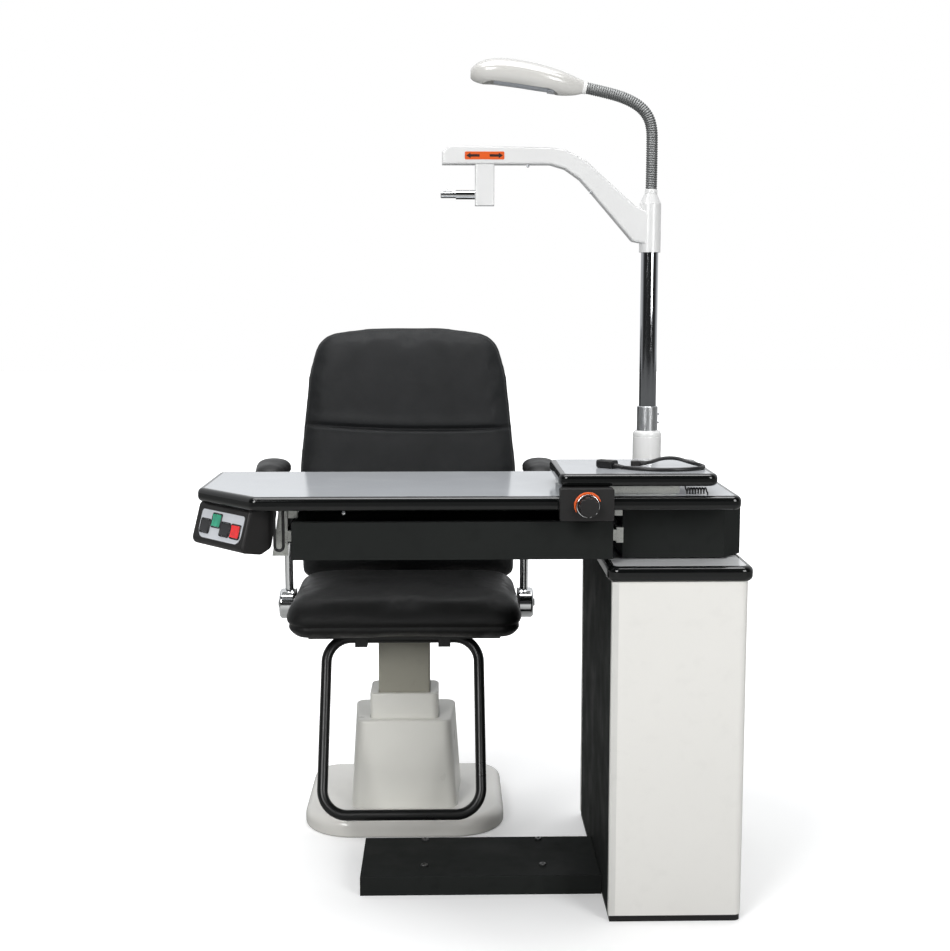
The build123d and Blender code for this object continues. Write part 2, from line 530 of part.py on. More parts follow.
with BuildPart() as pole_clamp:
    with BuildSketch(Plane.XY.offset(COLLAR_Z1)):
        with Locations((0, POLE_Y)):
            Circle(CLAMP_R)
            Circle(POLE_R + RUN_FIT, mode=Mode.SUBTRACT)
    extrude(amount=CLAMP_Z1 - COLLAR_Z1)
    chamfer(pole_clamp.faces().sort_by(Axis.Z)[-1].outer_wire().edges(), length=1)
    with Locations((20, POLE_Y, 885), (20, POLE_Y, 902)):
        Cylinder(2.6, 5, rotation=(0, 90, 0), align=(Align.CENTER, Align.CENTER, Align.MIN))
save(pole_clamp, "pole_clamp")

with BuildPart() as arm_shell:
    with BuildSketch(Plane.XZ.offset(-POLE_Y)) as arm_outline:
        with BuildLine():
            Polyline((-6, 1250), (-37, 1256), (-124, 1356), (-146, 1380), (-176, 1401),
                     (-206, ARM_BOTTOM_Z), (-426, ARM_BOTTOM_Z), (-426, 1434), (-410, 1447),
                     (-207, 1443), (-176, 1439), (-135, 1418), (-34, 1328), (-6, 1314),
                     close=True)
        make_face()
        fillet([v for v in arm_outline.vertices() if -420 < v.X < -30], radius=8)
    extrude(amount=ARM_W / 2, both=True)
    fillet(arm_shell.faces().filter_by(Axis.Y).edges().filter_by(
        lambda e: e.center().X < -20), radius=5)
    with Locations((0, POLE_Y, HOUSING_Z0)):
        Cylinder(HOUSING_R, HOUSING_Z1 - HOUSING_Z0,
                 align=(Align.CENTER, Align.CENTER, Align.MIN))
    with Locations((0, POLE_Y, HOUSING_Z1)):
        Cone(HOUSING_R, 13, CONE_Z1 - HOUSING_Z1, align=(Align.CENTER, Align.CENTER, Align.MIN))
    with Locations((0, POLE_Y, HOUSING_Z0)):
        Cylinder(POLE_R + RUN_FIT, POLE_Z1 - HOUSING_Z0,
                 align=(Align.CENTER, Align.CENTER, Align.MIN), mode=Mode.SUBTRACT)
    with Locations(((SLOT_X0 + SLOT_X1) / 2, POLE_Y, ARM_BOTTOM_Z)):
        Box(SLOT_X1 - SLOT_X0, SLOT_W, SLOT_DEPTH,
            align=(Align.CENTER, Align.CENTER, Align.MIN), mode=Mode.SUBTRACT)
save(arm_shell, "arm_shell")

with BuildPart() as bracket_body:
    with Locations(((HANGER_X0 + HANGER_X1) / 2, POLE_Y, HANGER_Z0)):
        Box(HANGER_X1 - HANGER_X0, HANGER_W, ARM_BOTTOM_Z - GAP - HANGER_Z0,
            align=(Align.CENTER, Align.CENTER, Align.MIN))
    fillet(bracket_body.edges().filter_by(Axis.Z), radius=4)
    with Locations(((HANGER_X0 + HANGER_X1) / 2, POLE_Y, ARM_BOTTOM_Z - GAP)):
        Box(HANGER_X1 - HANGER_X0 - 3, SLOT_W - 2 * GAP, SLOT_DEPTH - 2,
            align=(Align.CENTER, Align.CENTER, Align.MIN))
save(bracket_body, "bracket_body")

with BuildPart() as mount_pin:
    with BuildSketch(Plane.YZ.offset(HANGER_X0)):
        with Locations((POLE_Y, PIN_Z)):
            Circle(PIN_R)
    extrude(amount=-PIN_L)
    with BuildSketch(Plane.YZ.offset(HANGER_X0 - PIN_L)):
        with Locations((POLE_Y, PIN_Z)):
            Circle(NOSE_R)
    extrude(amount=-NOSE_L)
    chamfer(mount_pin.faces().sort_by(Axis.X)[0].edges(), length=1.2)
    with Locations((HANGER_X0 - PIN_L - 5, POLE_Y, PIN_Z + NOSE_R)):
        Box(6, 2 * NOSE_R, 3, align=(Align.CENTER, Align.CENTER, Align.MAX), mode=Mode.SUBTRACT)
    with Locations((LATCH_X, POLE_Y, PIN_Z - 4)):
        Cylinder(LATCH_R + RUN_FIT, 20, align=(Align.CENTER, Align.CENTER, Align.MIN),
                 mode=Mode.SUBTRACT)
save(mount_pin, "mount_pin")

with BuildPart() as latch_pin:
    with Locations((LATCH_X, POLE_Y, PIN_Z)):
        Cylinder(LATCH_R, NOSE_R + 4, align=(Align.CENTER, Align.CENTER, Align.MIN))
    fillet(latch_pin.faces().sort_by(Axis.Z)[-1].edges(), radius=1.5)
save(latch_pin, "latch_pin")

NECK_ROUTE = ((1, POLE_Y, CONE_Z1), (1, POLE_Y, 1499), (-43, POLE_Y, 1547), (-141, POLE_Y, 1564))
with BuildPart() as gooseneck:
    with BuildLine() as neck_path:
        FilletPolyline(*NECK_ROUTE, radius=(62, 62))
    with BuildSketch(Plane(neck_path.line @ 0, z_dir=neck_path.line % 0)):
        Circle(NECK_R)
    sweep()
save(gooseneck, "gooseneck")

# Lamp head sections: distance along X, middle height, half width and half height.
NECK_DIRECTION = (Vector(*NECK_ROUTE[-1]) - Vector(*NECK_ROUTE[-2])).normalized()
HEAD_SECTIONS = ((-160, 1567, 23, 19), (-200, 1575, 38, 26),
                 (-255, 1586, 46, 28), (-315, 1593, 45, 27), (-352, 1592, 33, 20),
                 (-368, 1589, 14, 8))
POCKET_DEPTH, REFLECTOR_T = 21.0, 1.5
HEAD_TILT = degrees(atan2(1593 - 1575, 315 - 200))
POCKET_PLANE = Plane((-268, POLE_Y, 1557), x_dir=(-cos(radians(HEAD_TILT)), 0,
                                                   sin(radians(HEAD_TILT))),
                     z_dir=(sin(radians(HEAD_TILT)), 0, cos(radians(HEAD_TILT))))
with BuildPart() as lamp_shell:
    with BuildSketch(Plane(NECK_ROUTE[-1], x_dir=(0, 1, 0), z_dir=NECK_DIRECTION)):
        Ellipse(13, 13)
    for x, z, half_w, half_h in HEAD_SECTIONS:
        with BuildSketch(Plane((x, POLE_Y, z), x_dir=(0, 1, 0), z_dir=(-1, 0, 0))):
            Ellipse(half_w, half_h)
    loft()
    with BuildSketch(POCKET_PLANE.offset(-30)):
        SlotOverall(156, 56)
    extrude(amount=30 + POCKET_DEPTH, mode=Mode.SUBTRACT)
save(lamp_shell, "lamp_shell")

with BuildPart() as lamp_reflector:
    with BuildSketch(POCKET_PLANE.offset(POCKET_DEPTH - REFLECTOR_T)):
        SlotOverall(154, 54)
    extrude(amount=REFLECTOR_T)
save(lamp_reflector, "lamp_reflector")

with BuildPart() as lamp_tube:
    for side in (-1, 1):
        with BuildSketch(Plane(POCKET_PLANE.origin + POCKET_PLANE.z_dir * (POCKET_DEPTH - 8.5)
                               + POCKET_PLANE.x_dir * 55 + Vector(0, side * 10, 0),
                               x_dir=(0, 1, 0), z_dir=POCKET_PLANE.x_dir)):
            Circle(6)
        extrude(amount=-110)
    with Locations(POCKET_PLANE.offset(POCKET_DEPTH - 15.3)):
        with Locations((-62, 0, 0)):
            Box(14, 35, 13.3, align=(Align.CENTER, Align.CENTER, Align.MIN))
save(lamp_tube, "lamp_tube")

# ---- chair --------------------------------------------------------------------------------
with BuildPart() as chair_base_cover:
    with BuildSketch(Plane.XY) as foot_outline:
        with Locations((CHAIR_X, FOOT_Y)):
            Rectangle(FOOT_W, FOOT_D)
        fillet(foot_outline.vertices().group_by(Axis.Y)[0], radius=110)
        fillet(foot_outline.vertices().group_by(Axis.Y)[-1], radius=60)
    extrude(amount=FOOT_H)
    fillet(chair_base_cover.faces().sort_by(Axis.Z)[-1].edges(), radius=20)
    fillet(chair_base_cover.faces().sort_by(Axis.Z)[0].edges(), radius=6)
    with BuildSketch(Plane.XY):
        with Locations((CHAIR_X, COLUMN_Y)):
            Rectangle(SLEEVE_W + 16, SLEEVE_D + 16)
    extrude(amount=FOOT_H, mode=Mode.SUBTRACT)
save(chair_base_cover, "chair_base_cover")


def trapezoid(front_w, back_w, front_y, back_y, radius):
    """A plan outline that is wider at the back, centred on the chair."""
    with BuildSketch() as plan:
        with BuildLine():
            Polyline((CHAIR_X - front_w / 2, front_y), (CHAIR_X + front_w / 2, front_y),
                     (CHAIR_X + back_w / 2, back_y), (CHAIR_X - back_w / 2, back_y), close=True)
        make_face()
        fillet(plan.vertices(), radius=radius)
    return plan.sketch


with BuildPart() as chair_shroud:
    with BuildSketch(Plane.XY.offset(SHROUD_Z0)):
        add(trapezoid(228, 250, 212, 424, 22))
    with BuildSketch(Plane.XY.offset(SHROUD_Z1)):
        add(trapezoid(202, 226, 232, 402, 20))
    loft()
    fillet(chair_shroud.faces().sort_by(Axis.Z)[-1].edges(), radius=5)
    with BuildSketch(Plane.XY.offset(SHROUD_Z0)):
        add(trapezoid(220, 242, 216, 420, 18))
    with BuildSketch(Plane.XY.offset(SHROUD_Z1 - SHROUD_T)):
        add(trapezoid(194, 218, 236, 398, 16))
    loft(mode=Mode.SUBTRACT)
    with BuildSketch(Plane.XY.offset(SHROUD_Z1 - 2 * SHROUD_T)):
        with Locations((CHAIR_X, COLUMN_Y)):
            RectangleRounded(SLEEVE_W + 2, SLEEVE_D + 2, 17)
    extrude(amount=3 * SHROUD_T, mode=Mode.SUBTRACT)
save(chair_shroud, "chair_shroud")

with BuildPart() as chair_sleeve:
    with BuildSketch(Plane.XY.offset(SLEEVE_Z0)):
        with Locations((CHAIR_X, COLUMN_Y)):
            RectangleRounded(SLEEVE_W, SLEEVE_D, 16)
    extrude(amount=SLEEVE_Z1 - SLEEVE_Z0)
    fillet(chair_sleeve.faces().sort_by(Axis.Z)[-1].edges(), radius=4)
    with BuildSketch(Plane.XY.offset(SLEEVE_Z0)):
        with Locations((CHAIR_X, COLUMN_Y)):
            RectangleRounded(SLEEVE_W - 2 * SLEEVE_T, SLEEVE_D - 2 * SLEEVE_T, 12)
    extrude(amount=SLEEVE_Z1 - SLEEVE_Z0 - SLEEVE_T, mode=Mode.SUBTRACT)
    with BuildSketch(Plane.XY.offset(SLEEVE_Z1 - 2 * SLEEVE_T)):
        with Locations((CHAIR_X, COLUMN_Y)):
            Rectangle(COLUMN_W + 2, COLUMN_D + 2)
    extrude(amount=3 * SLEEVE_T, mode=Mode.SUBTRACT)
save(chair_sleeve, "chair_sleeve")

with BuildPart() as chair_column:
    with BuildSketch(Plane.XY.offset(COLUMN_Z0)):
        with Locations((CHAIR_X, COLUMN_Y)):
            Rectangle(COLUMN_W, COLUMN_D)
    extrude(amount=COLUMN_Z1 - COLUMN_Z0)
    fillet(chair_column.edges().filter_by(Axis.Z), radius=5)
    with BuildSketch(Plane.XY.offset(COLUMN_Z0)):
        with Locations((CHAIR_X, COLUMN_Y)):
            Rectangle(COLUMN_W - 2 * COLUMN_T, COLUMN_D - 2 * COLUMN_T)
    extrude(amount=COLUMN_Z1 - COLUMN_Z0 - 6, mode=Mode.SUBTRACT)
    with Locations((CHAIR_X, COLUMN_Y, 110)):
        Cylinder(ROD_R, COLUMN_Z1 - 6 - 110, align=(Align.CENTER, Align.CENTER, Align.MIN))
save(chair_column, "chair_column")

with BuildPart() as lift_actuator:
    with Locations((CHAIR_X, COLUMN_Y, 0)):
        Box(SLEEVE_W + 16, SLEEVE_D + 16, 10, align=(Align.CENTER, Align.CENTER, Align.MIN))
        Cylinder(ACTUATOR_R, 230, align=(Align.CENTER, Align.CENTER, Align.MIN))
    with Locations((CHAIR_X, COLUMN_Y, 20)):
        Cylinder(ROD_R + RUN_FIT, 300, align=(Align.CENTER, Align.CENTER, Align.MIN),
                 mode=Mode.SUBTRACT)
    with Locations((CHAIR_X + 46, COLUMN_Y, 10)):
        Box(40, 60, 74, align=(Align.CENTER, Align.CENTER, Align.MIN))
save(lift_actuator, "lift_actuator")

PAN_W, PAN_Y0, PAN_Y1 = 400.0, 130.0, 420.0
LUG_X = SEAT_W / 2 + 2.0


def back_rear(z):
    """Where the upright stands behind the leaning back cushion, at a height."""
    lean = radians(BACK_LEAN)
    return BACK_Y + (BACK_T / 2 + GAP) / cos(lean) + (z - BACK_Z0) * tan(lean)


with BuildPart() as seat_frame:
    with Locations((SEAT_X, PAN_Y0, COLUMN_Z1)):
        Box(PAN_W, PAN_Y1 - PAN_Y0, 9, align=(Align.CENTER, Align.MIN, Align.MIN))
    with Locations((SEAT_X, HUB_Y, COLUMN_Z1)):
        Box(2 * LUG_X + 8, 60, 9, align=(Align.CENTER, Align.CENTER, Align.MIN))
    with Locations((SEAT_X, PAN_Y1 - 20, COLUMN_Z1)):
        Box(100, 530 - PAN_Y1, 9, align=(Align.CENTER, Align.MIN, Align.MIN))
    with BuildSketch(Plane.YZ.offset(SEAT_X)):
        with BuildLine():
            Polyline((back_rear(COLUMN_Z1), COLUMN_Z1), (back_rear(COLUMN_Z1) + 9, COLUMN_Z1),
                     (back_rear(900) + 9, 900), (back_rear(900), 900), close=True)
        make_face()
    extrude(amount=50, both=True)
    for side in (-1, 1):
        with Locations((SEAT_X + side * LUG_X, HUB_Y, COLUMN_Z1)):
            Box(4, 60, 62, align=(Align.MIN if side > 0 else Align.MAX, Align.CENTER, Align.MIN))
        with BuildSketch(Plane.YZ.offset(SEAT_X + side * LUG_X)):
            with Locations((HUB_Y, HUB_Z)):
                Circle(HUB_PIN_R)
        extrude(amount=side * 38)
save(seat_frame, "seat_frame")

with BuildPart() as seat_cushion:
    with BuildSketch(Plane.XY.offset(SEAT_Z0)):
        with Locations((SEAT_X, (SEAT_Y0 + SEAT_Y1) / 2)):
            RectangleRounded(SEAT_W, SEAT_Y1 - SEAT_Y0, 55)
    extrude(amount=SEAT_Z1 - SEAT_Z0)
    fillet(seat_cushion.faces().sort_by(Axis.Z)[-1].edges(), radius=36)
    fillet(seat_cushion.faces().sort_by(Axis.Z)[0].edges(), radius=24)
save(seat_cushion, "seat_cushion")

BACK_PLANE = Plane((SEAT_X, BACK_Y, BACK_Z0), x_dir=(1, 0, 0),
                   z_dir=(0, -cos(radians(BACK_LEAN)), sin(radians(BACK_LEAN))))
with BuildPart() as back_cushion:
    with BuildSketch(BACK_PLANE) as back_outline:
        with BuildLine():
            Polyline((-240, 0), (-248, 250), (-224, 455), (-196, 545))
            ThreePointArc((-196, 545), (0, 574), (196, 545))
            Polyline((196, 545), (224, 455), (248, 250), (240, 0), (-240, 0))
        make_face()
        fillet([v for v in back_outline.vertices() if v.Z < BACK_Z0 + 5], radius=40)
        fillet([v for v in back_outline.vertices()
                if BACK_Z0 + 530 < v.Z < BACK_Z0 + 560], radius=60)
    extrude(amount=BACK_T / 2, both=True)
    fillet(back_cushion.faces().filter_by(BACK_PLANE).edges(), radius=24)
save(back_cushion, "back_cushion")

for side, word in ((-1, "left"), (1, "right")):
    hub_x = SEAT_X + side * (LUG_X + 4 + GAP)
    pad_x = SEAT_X + side * PAD_OFFSET
    tube_x = hub_x + side * 9.5
    with BuildPart() as armrest_frame:
        with BuildSketch(Plane.YZ.offset(hub_x)):
            with Locations((HUB_Y, HUB_Z)):
                Circle(HUB_R)
                Circle(HUB_PIN_R + RUN_FIT, mode=Mode.SUBTRACT)
        extrude(amount=side * 30)
        cap = armrest_frame.faces().sort_by(Axis.X)[-1 if side > 0 else 0]
        fillet(cap.outer_wire().edges(), radius=6)
        with BuildLine() as tube_path:
            FilletPolyline((tube_x, HUB_Y, HUB_Z + 26), (tube_x, HUB_Y - 8, 660),
                           (pad_x, PAD_Y + 4, 715), (pad_x, PAD_Y, PAD_Z0 - 5), radius=(50, 26))
        with BuildSketch(Plane(tube_path.line @ 0, z_dir=tube_path.line % 0)):
            Circle(9)
        sweep()
        with Locations((pad_x, PAD_Y, PAD_Z0 - 6)):
            Box(40, 150, 6, align=(Align.CENTER, Align.CENTER, Align.MIN))
    save(armrest_frame, f"armrest_frame_{word}")
    with BuildPart() as armrest_pad:
        with BuildSketch(Plane.XY.offset(PAD_Z0)):
            with Locations((pad_x, PAD_Y)):
                RectangleRounded(PAD_W, PAD_L, PAD_W / 2 - 2)
        extrude(amount=PAD_H)
        fillet(armrest_pad.faces().sort_by(Axis.Z)[-1].edges(), radius=26)
        fillet(armrest_pad.faces().sort_by(Axis.Z)[0].edges(), radius=6)
    save(armrest_pad, f"armrest_pad_{word}")

LOOP_PLANE = Plane((CHAIR_X, LOOP_Y, LOOP_Z), x_dir=(1, 0, 0),
                   z_dir=(0, -cos(radians(LOOP_LEAN)), sin(radians(LOOP_LEAN))))
with BuildPart() as footrest_loop:
    with BuildLine(LOOP_PLANE) as loop_path:
        FilletPolyline((0, 0), (LOOP_W / 2, 0), (LOOP_W / 2 + 3, -LOOP_LONG),
                       (-LOOP_W / 2 - 3, -LOOP_LONG), (-LOOP_W / 2, 0), (0.01, 0),
                       radius=(52, 52, 52, 52))
    with BuildSketch(Plane(loop_path.line @ 0, z_dir=loop_path.line % 0)):
        Circle(LOOP_R)
        Circle(LOOP_R - 2, mode=Mode.SUBTRACT)
    sweep()
save(footrest_loop, "footrest_loop")

with BuildPart() as footrest_clamps:
    for x in (-88, 88):
        with Locations((CHAIR_X + x, LOOP_Y, LOOP_Z - LOOP_R - 5)):
            Box(26, 2 * LOOP_R + 12, COLUMN_Z1 - LOOP_Z + LOOP_R + 5,
                align=(Align.CENTER, Align.CENTER, Align.MIN))
        with Locations((CHAIR_X + x, LOOP_Y, LOOP_Z)):
            Cylinder(LOOP_R + RUN_FIT, 30, rotation=(0, 90, 0), mode=Mode.SUBTRACT)
save(footrest_clamps, "footrest_clamps")
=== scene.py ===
"""Looks of the ophthalmic refraction unit: materials, upholstery, leads and small fittings that
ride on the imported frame. Metres, in the frame's own axes."""
import json
from math import cos, exp, pi, radians, sin, tau

import bmesh
import bpy
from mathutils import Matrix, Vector, noise


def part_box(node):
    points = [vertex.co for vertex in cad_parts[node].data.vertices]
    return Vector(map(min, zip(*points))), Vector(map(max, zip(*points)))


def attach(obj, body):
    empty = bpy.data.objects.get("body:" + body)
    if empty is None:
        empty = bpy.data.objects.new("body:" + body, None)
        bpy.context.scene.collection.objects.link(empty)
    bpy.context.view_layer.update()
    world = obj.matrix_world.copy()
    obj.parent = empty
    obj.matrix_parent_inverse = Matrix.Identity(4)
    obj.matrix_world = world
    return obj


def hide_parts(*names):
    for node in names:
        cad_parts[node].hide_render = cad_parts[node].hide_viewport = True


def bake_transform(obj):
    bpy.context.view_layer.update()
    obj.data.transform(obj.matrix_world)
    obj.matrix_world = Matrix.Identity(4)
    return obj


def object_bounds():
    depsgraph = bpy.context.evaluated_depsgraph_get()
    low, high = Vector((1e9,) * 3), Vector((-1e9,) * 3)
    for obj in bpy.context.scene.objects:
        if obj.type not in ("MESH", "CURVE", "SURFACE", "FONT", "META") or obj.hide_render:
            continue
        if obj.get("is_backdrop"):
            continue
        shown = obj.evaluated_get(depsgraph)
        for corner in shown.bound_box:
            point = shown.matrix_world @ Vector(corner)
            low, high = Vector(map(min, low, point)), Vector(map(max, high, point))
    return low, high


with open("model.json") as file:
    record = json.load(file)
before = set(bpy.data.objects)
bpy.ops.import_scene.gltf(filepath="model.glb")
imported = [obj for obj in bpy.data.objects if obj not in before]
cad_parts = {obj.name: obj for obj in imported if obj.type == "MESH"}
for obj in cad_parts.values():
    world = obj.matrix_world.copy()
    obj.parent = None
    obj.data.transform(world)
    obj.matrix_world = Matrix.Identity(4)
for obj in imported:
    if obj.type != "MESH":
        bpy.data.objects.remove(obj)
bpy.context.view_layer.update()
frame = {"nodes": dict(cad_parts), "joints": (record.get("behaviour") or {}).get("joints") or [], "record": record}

nodes = frame["nodes"]
scene = bpy.context.scene
scene.view_settings.view_transform = "Standard"


def linked(name, data):
    """A new object in the scene."""
    obj = bpy.data.objects.new(name, data)
    scene.collection.objects.link(obj)
    return obj


# ---- camera -------------------------------------------------------------------------------
# Fitted to the unit's straight edges: it stands in front, looks down a little and turns right.
CAMERA_AT = (-0.4191, -2.6907, 1.13325)
CAMERA_DOWN, CAMERA_RIGHT = radians(7.15), radians(1.2)
CAMERA_LENS = 52.39  # in millimetres, on the default 36 mm sensor
camera_data = bpy.data.cameras.new("camera")
camera_data.lens = CAMERA_LENS
camera_data.clip_start, camera_data.clip_end = 0.05, 60
camera = linked("camera", camera_data)
camera.location = CAMERA_AT
camera.rotation_euler = (pi / 2 - CAMERA_DOWN, 0, -CAMERA_RIGHT)
scene.camera = camera


# ---- mesh helpers -------------------------------------------------------------------------
def shaded(mesh, smooth=True):
    """Sets smooth or flat shading on every face."""
    mesh.polygons.foreach_set("use_smooth", [smooth] * len(mesh.polygons))
    return mesh


def mesh_of(name, verts, faces):
    """A smooth mesh from points and faces, with its normals made consistent."""
    mesh = bpy.data.meshes.new(name)
    mesh.from_pydata([tuple(v) for v in verts], [], faces)
    made = bmesh.new()
    made.from_mesh(mesh)
    bmesh.ops.recalc_face_normals(made, faces=made.faces)
    made.to_mesh(mesh)
    made.free()
    return shaded(mesh)


def rings_mesh(name, rings, close_ends=True):
    """Joins closed rings of equal length, end to end, into one skin."""
    count = len(rings[0])
    verts = [p for ring in rings for p in ring]
    faces = []
    for r in range(len(rings) - 1):
        for k in range(count):
            n = (k + 1) % count
            faces.append((r * count + k, r * count + n, (r + 1) * count + n, (r + 1) * count + k))
    if close_ends:
        faces.append(tuple(range(count)))
        faces.append(tuple((len(rings) - 1) * count + k for k in range(count)))
    return mesh_of(name, verts, faces)


def frames_along(points):
    """A position, side and up vector at each point of a line, turned with the least twist."""
    tangents = []
    for i in range(len(points)):
        ahead, behind = points[min(i + 1, len(points) - 1)], points[max(i - 1, 0)]
        tangents.append((ahead - behind).normalized())
    side = tangents[0].orthogonal().normalized()
    frames = []
    for point, tangent in zip(points, tangents):
        side = (side - tangent * side.dot(tangent)).normalized()
        frames.append((point, side, tangent.cross(side)))
    return frames


def tube(name, points, radius, sides=20):
    """A round tube through the points. radius is a number, or a function of length and turn."""
    rings, walked = [], 0.0
    for i, (point, side, up) in enumerate(frames_along(points)):
        walked += (points[i] - points[i - 1]).length if i else 0.0
        ring = []
        for k in range(sides):
            angle = tau * k / sides
            r = radius(walked, k / sides) if callable(radius) else radius
            ring.append(point + side * (r * cos(angle)) + up * (r * sin(angle)))
        rings.append(ring)
    return rings_mesh(name, rings)


def spline_points(route, resolution=12):
    """The points along a NURBS spline that has the route's points as its control points."""
    curve = bpy.data.curves.new("route", "CURVE")
    curve.dimensions = "3D"
    spline = curve.splines.new("NURBS")
    spline.points.add(len(route) - 1)
    for place, point in zip(spline.points, route):
        place.co = (*point, 1.0)
    spline.order_u = 3
    spline.use_endpoint_u = True
    spline.resolution_u = resolution
    holder = bpy.data.objects.new("route", curve)
    mesh = bpy.data.meshes.new_from_object(holder)
    run = [Vector(v.co) for v in mesh.vertices]
    bpy.data.objects.remove(holder)
    bpy.data.curves.remove(curve)
    bpy.data.meshes.remove(mesh)
    return run


# ---- materials ----------------------------------------------------------------------------
def add_node(tree, kind, links=(), **settings):
    """A new node. links feeds its sockets; settings are socket values or node options."""
    made = tree.nodes.new(kind)
    for key, value in settings.items():
        if key in made.inputs:
            made.inputs[key].default_value = value
        else:
            setattr(made, key, value)
    for socket, source in dict(links).items():
        tree.links.new(source, made.inputs[socket])
    return made


def add_range(tree, value, low, high, to_low, to_high, kind="LINEAR"):
    """Maps a value from one range to another."""
    made = add_node(tree, "ShaderNodeMapRange", {"Value": value}, interpolation_type=kind)
    for socket, number in (("From Min", low), ("From Max", high), ("To Min", to_low),
                           ("To Max", to_high)):
        made.inputs[socket].default_value = number
    return made.outputs["Result"]


class Look:
    """A procedural material in object coordinates, which are the frame's metres at rest."""
    MIX_A, MIX_B, MIX_OUT = 6, 7, 2  # the colour sockets of a mix node, by place

    def __init__(self, name, color, rough, **constants):
        self.material = bpy.data.materials.new(name)
        self.material.use_nodes = True
        self.tree = self.material.node_tree
        self.shader = self.tree.nodes["Principled BSDF"]
        self.color = color
        self.shader.inputs["Base Color"].default_value = (*color, 1.0)
        self.shader.inputs["Roughness"].default_value = rough
        for socket, value in constants.items():
            self.shader.inputs[socket.replace("_", " ")].default_value = value
        self.place = self.add("ShaderNodeTexCoord").outputs["Object"]
        self.normal = None
        self.base = None

    def add(self, kind, links=(), **settings):
        """A new node in this material."""
        return add_node(self.tree, kind, links, **settings)

    def stretched(self, scale):
        """The place, scaled unevenly, for streaks."""
        return self.add("ShaderNodeMapping", {"Vector": self.place}, Scale=scale).outputs[0]

    def noise(self, scale, detail=3.0, place=None):
        """Cloudy noise from about 0.2 to 0.8. scale is in waves per metre."""
        return self.add("ShaderNodeTexNoise", {"Vector": place or self.place}, Scale=scale,
                        Detail=detail).outputs["Fac"]

    def cells(self, scale, feature="F1", place=None):
        """The distance to the nearest cell point, or to its border."""
        return self.add("ShaderNodeTexVoronoi", {"Vector": place or self.place}, feature=feature,
                        Scale=scale).outputs["Distance"]

    def ranged(self, value, low, high, to_low=0.0, to_high=1.0):
        """Maps a value from one range to another, 0 to 1 unless it is given."""
        return add_range(self.tree, value, low, high, to_low, to_high)

    def tint(self, share, color):
        """Mixes another colour into the base, by a share that varies over the surface."""
        mix = self.add("ShaderNodeMix", data_type="RGBA")
        self.tree.links.new(share, mix.inputs["Factor"])
        if self.base is None:
            mix.inputs[self.MIX_A].default_value = (*self.color, 1.0)
        else:
            self.tree.links.new(self.base, mix.inputs[self.MIX_A])
        mix.inputs[self.MIX_B].default_value = (*color, 1.0)
        self.base = mix.outputs[self.MIX_OUT]
        self.tree.links.new(self.base, self.shader.inputs["Base Color"])

    def roughness(self, value, low, high, to_low, to_high):
        """Drives the roughness by a value that varies over the surface."""
        self.tree.links.new(self.ranged(value, low, high, to_low, to_high),
                            self.shader.inputs["Roughness"])

    def bump(self, height, distance, strength=1.0):
        """Adds a layer of bump on top of the layers before it."""
        links = {"Height": height}
        if self.normal is not None:
            links["Normal"] = self.normal
        made = self.add("ShaderNodeBump", links, Strength=strength, Distance=distance)
        self.normal = made.outputs["Normal"]
        self.tree.links.new(self.normal, self.shader.inputs["Normal"])


def shade(color, factor):
    """A lighter or darker colour."""
    return tuple(min(1.0, c * factor) for c in color)


def painted(name, color, rough, peel=0.00004, evenness=0.93, **constants):
    """Sprayed or powder coated metal: orange peel, slight unevenness and wiped smudges."""
    look = Look(name, color, rough, **constants)
    look.tint(look.ranged(look.noise(3.0, 4), 0.3, 0.75), shade(color, evenness))
    look.tint(look.ranged(look.noise(38.0, 5), 0.55, 0.8), shade(color, evenness ** 1.5))
    look.roughness(look.noise(14.0, 5), 0.3, 0.7, rough * 0.85, min(1, rough * 1.2))
    look.bump(look.noise(420.0, 2), peel)
    look.bump(look.noise(2600.0, 1), peel * 0.35)
    return look


def moulded(name, color, rough, grain=0.00003, scale=900.0, **constants):
    """Injection moulded plastic: a fine even grain over slow waviness."""
    look = Look(name, color, rough, **constants)
    look.tint(look.ranged(look.noise(7.0, 3), 0.4, 0.75), shade(color, 0.95))
    look.roughness(look.noise(22.0, 4), 0.3, 0.7, rough * 0.85, min(1, rough * 1.2))
    look.bump(look.noise(30.0, 1), 0.0002, 0.3)
    look.bump(look.cells(scale), grain)
    return look


def leather(name, color, rough, gloss):
    """Grained upholstery leather: pebbled cells, fine pores, slow wrinkles and rubbed patches."""
    look = Look(name, color, rough, Sheen_Weight=0.03, Sheen_Roughness=0.4,
                Specular_IOR_Level=gloss)
    warp = look.add("ShaderNodeTexNoise", {"Vector": look.place}, Scale=160.0, Detail=2.0)
    bent = look.add("ShaderNodeVectorMath", {0: look.place}, operation="ADD")
    small = look.add("ShaderNodeVectorMath", {0: warp.outputs["Color"]}, operation="SCALE",
                     Scale=0.0016)
    look.tree.links.new(small.outputs[0], bent.inputs[1])
    grain = look.cells(620.0, "DISTANCE_TO_EDGE", bent.outputs[0])
    pebble = look.ranged(grain, 0.0, 0.16)
    look.tint(look.ranged(look.noise(9.0, 4), 0.35, 0.75), shade(color, 0.72))
    look.tint(look.ranged(grain, 0.09, 0.0), shade(color, 0.35))
    look.roughness(look.noise(26.0, 4), 0.3, 0.72, rough * 0.86, rough * 1.18)
    look.bump(look.noise(42.0, 3), 0.0009, 0.35)
    look.bump(pebble, 0.00016, 0.8)
    look.bump(look.noise(2400.0, 2), 0.00004, 0.6)
    return look


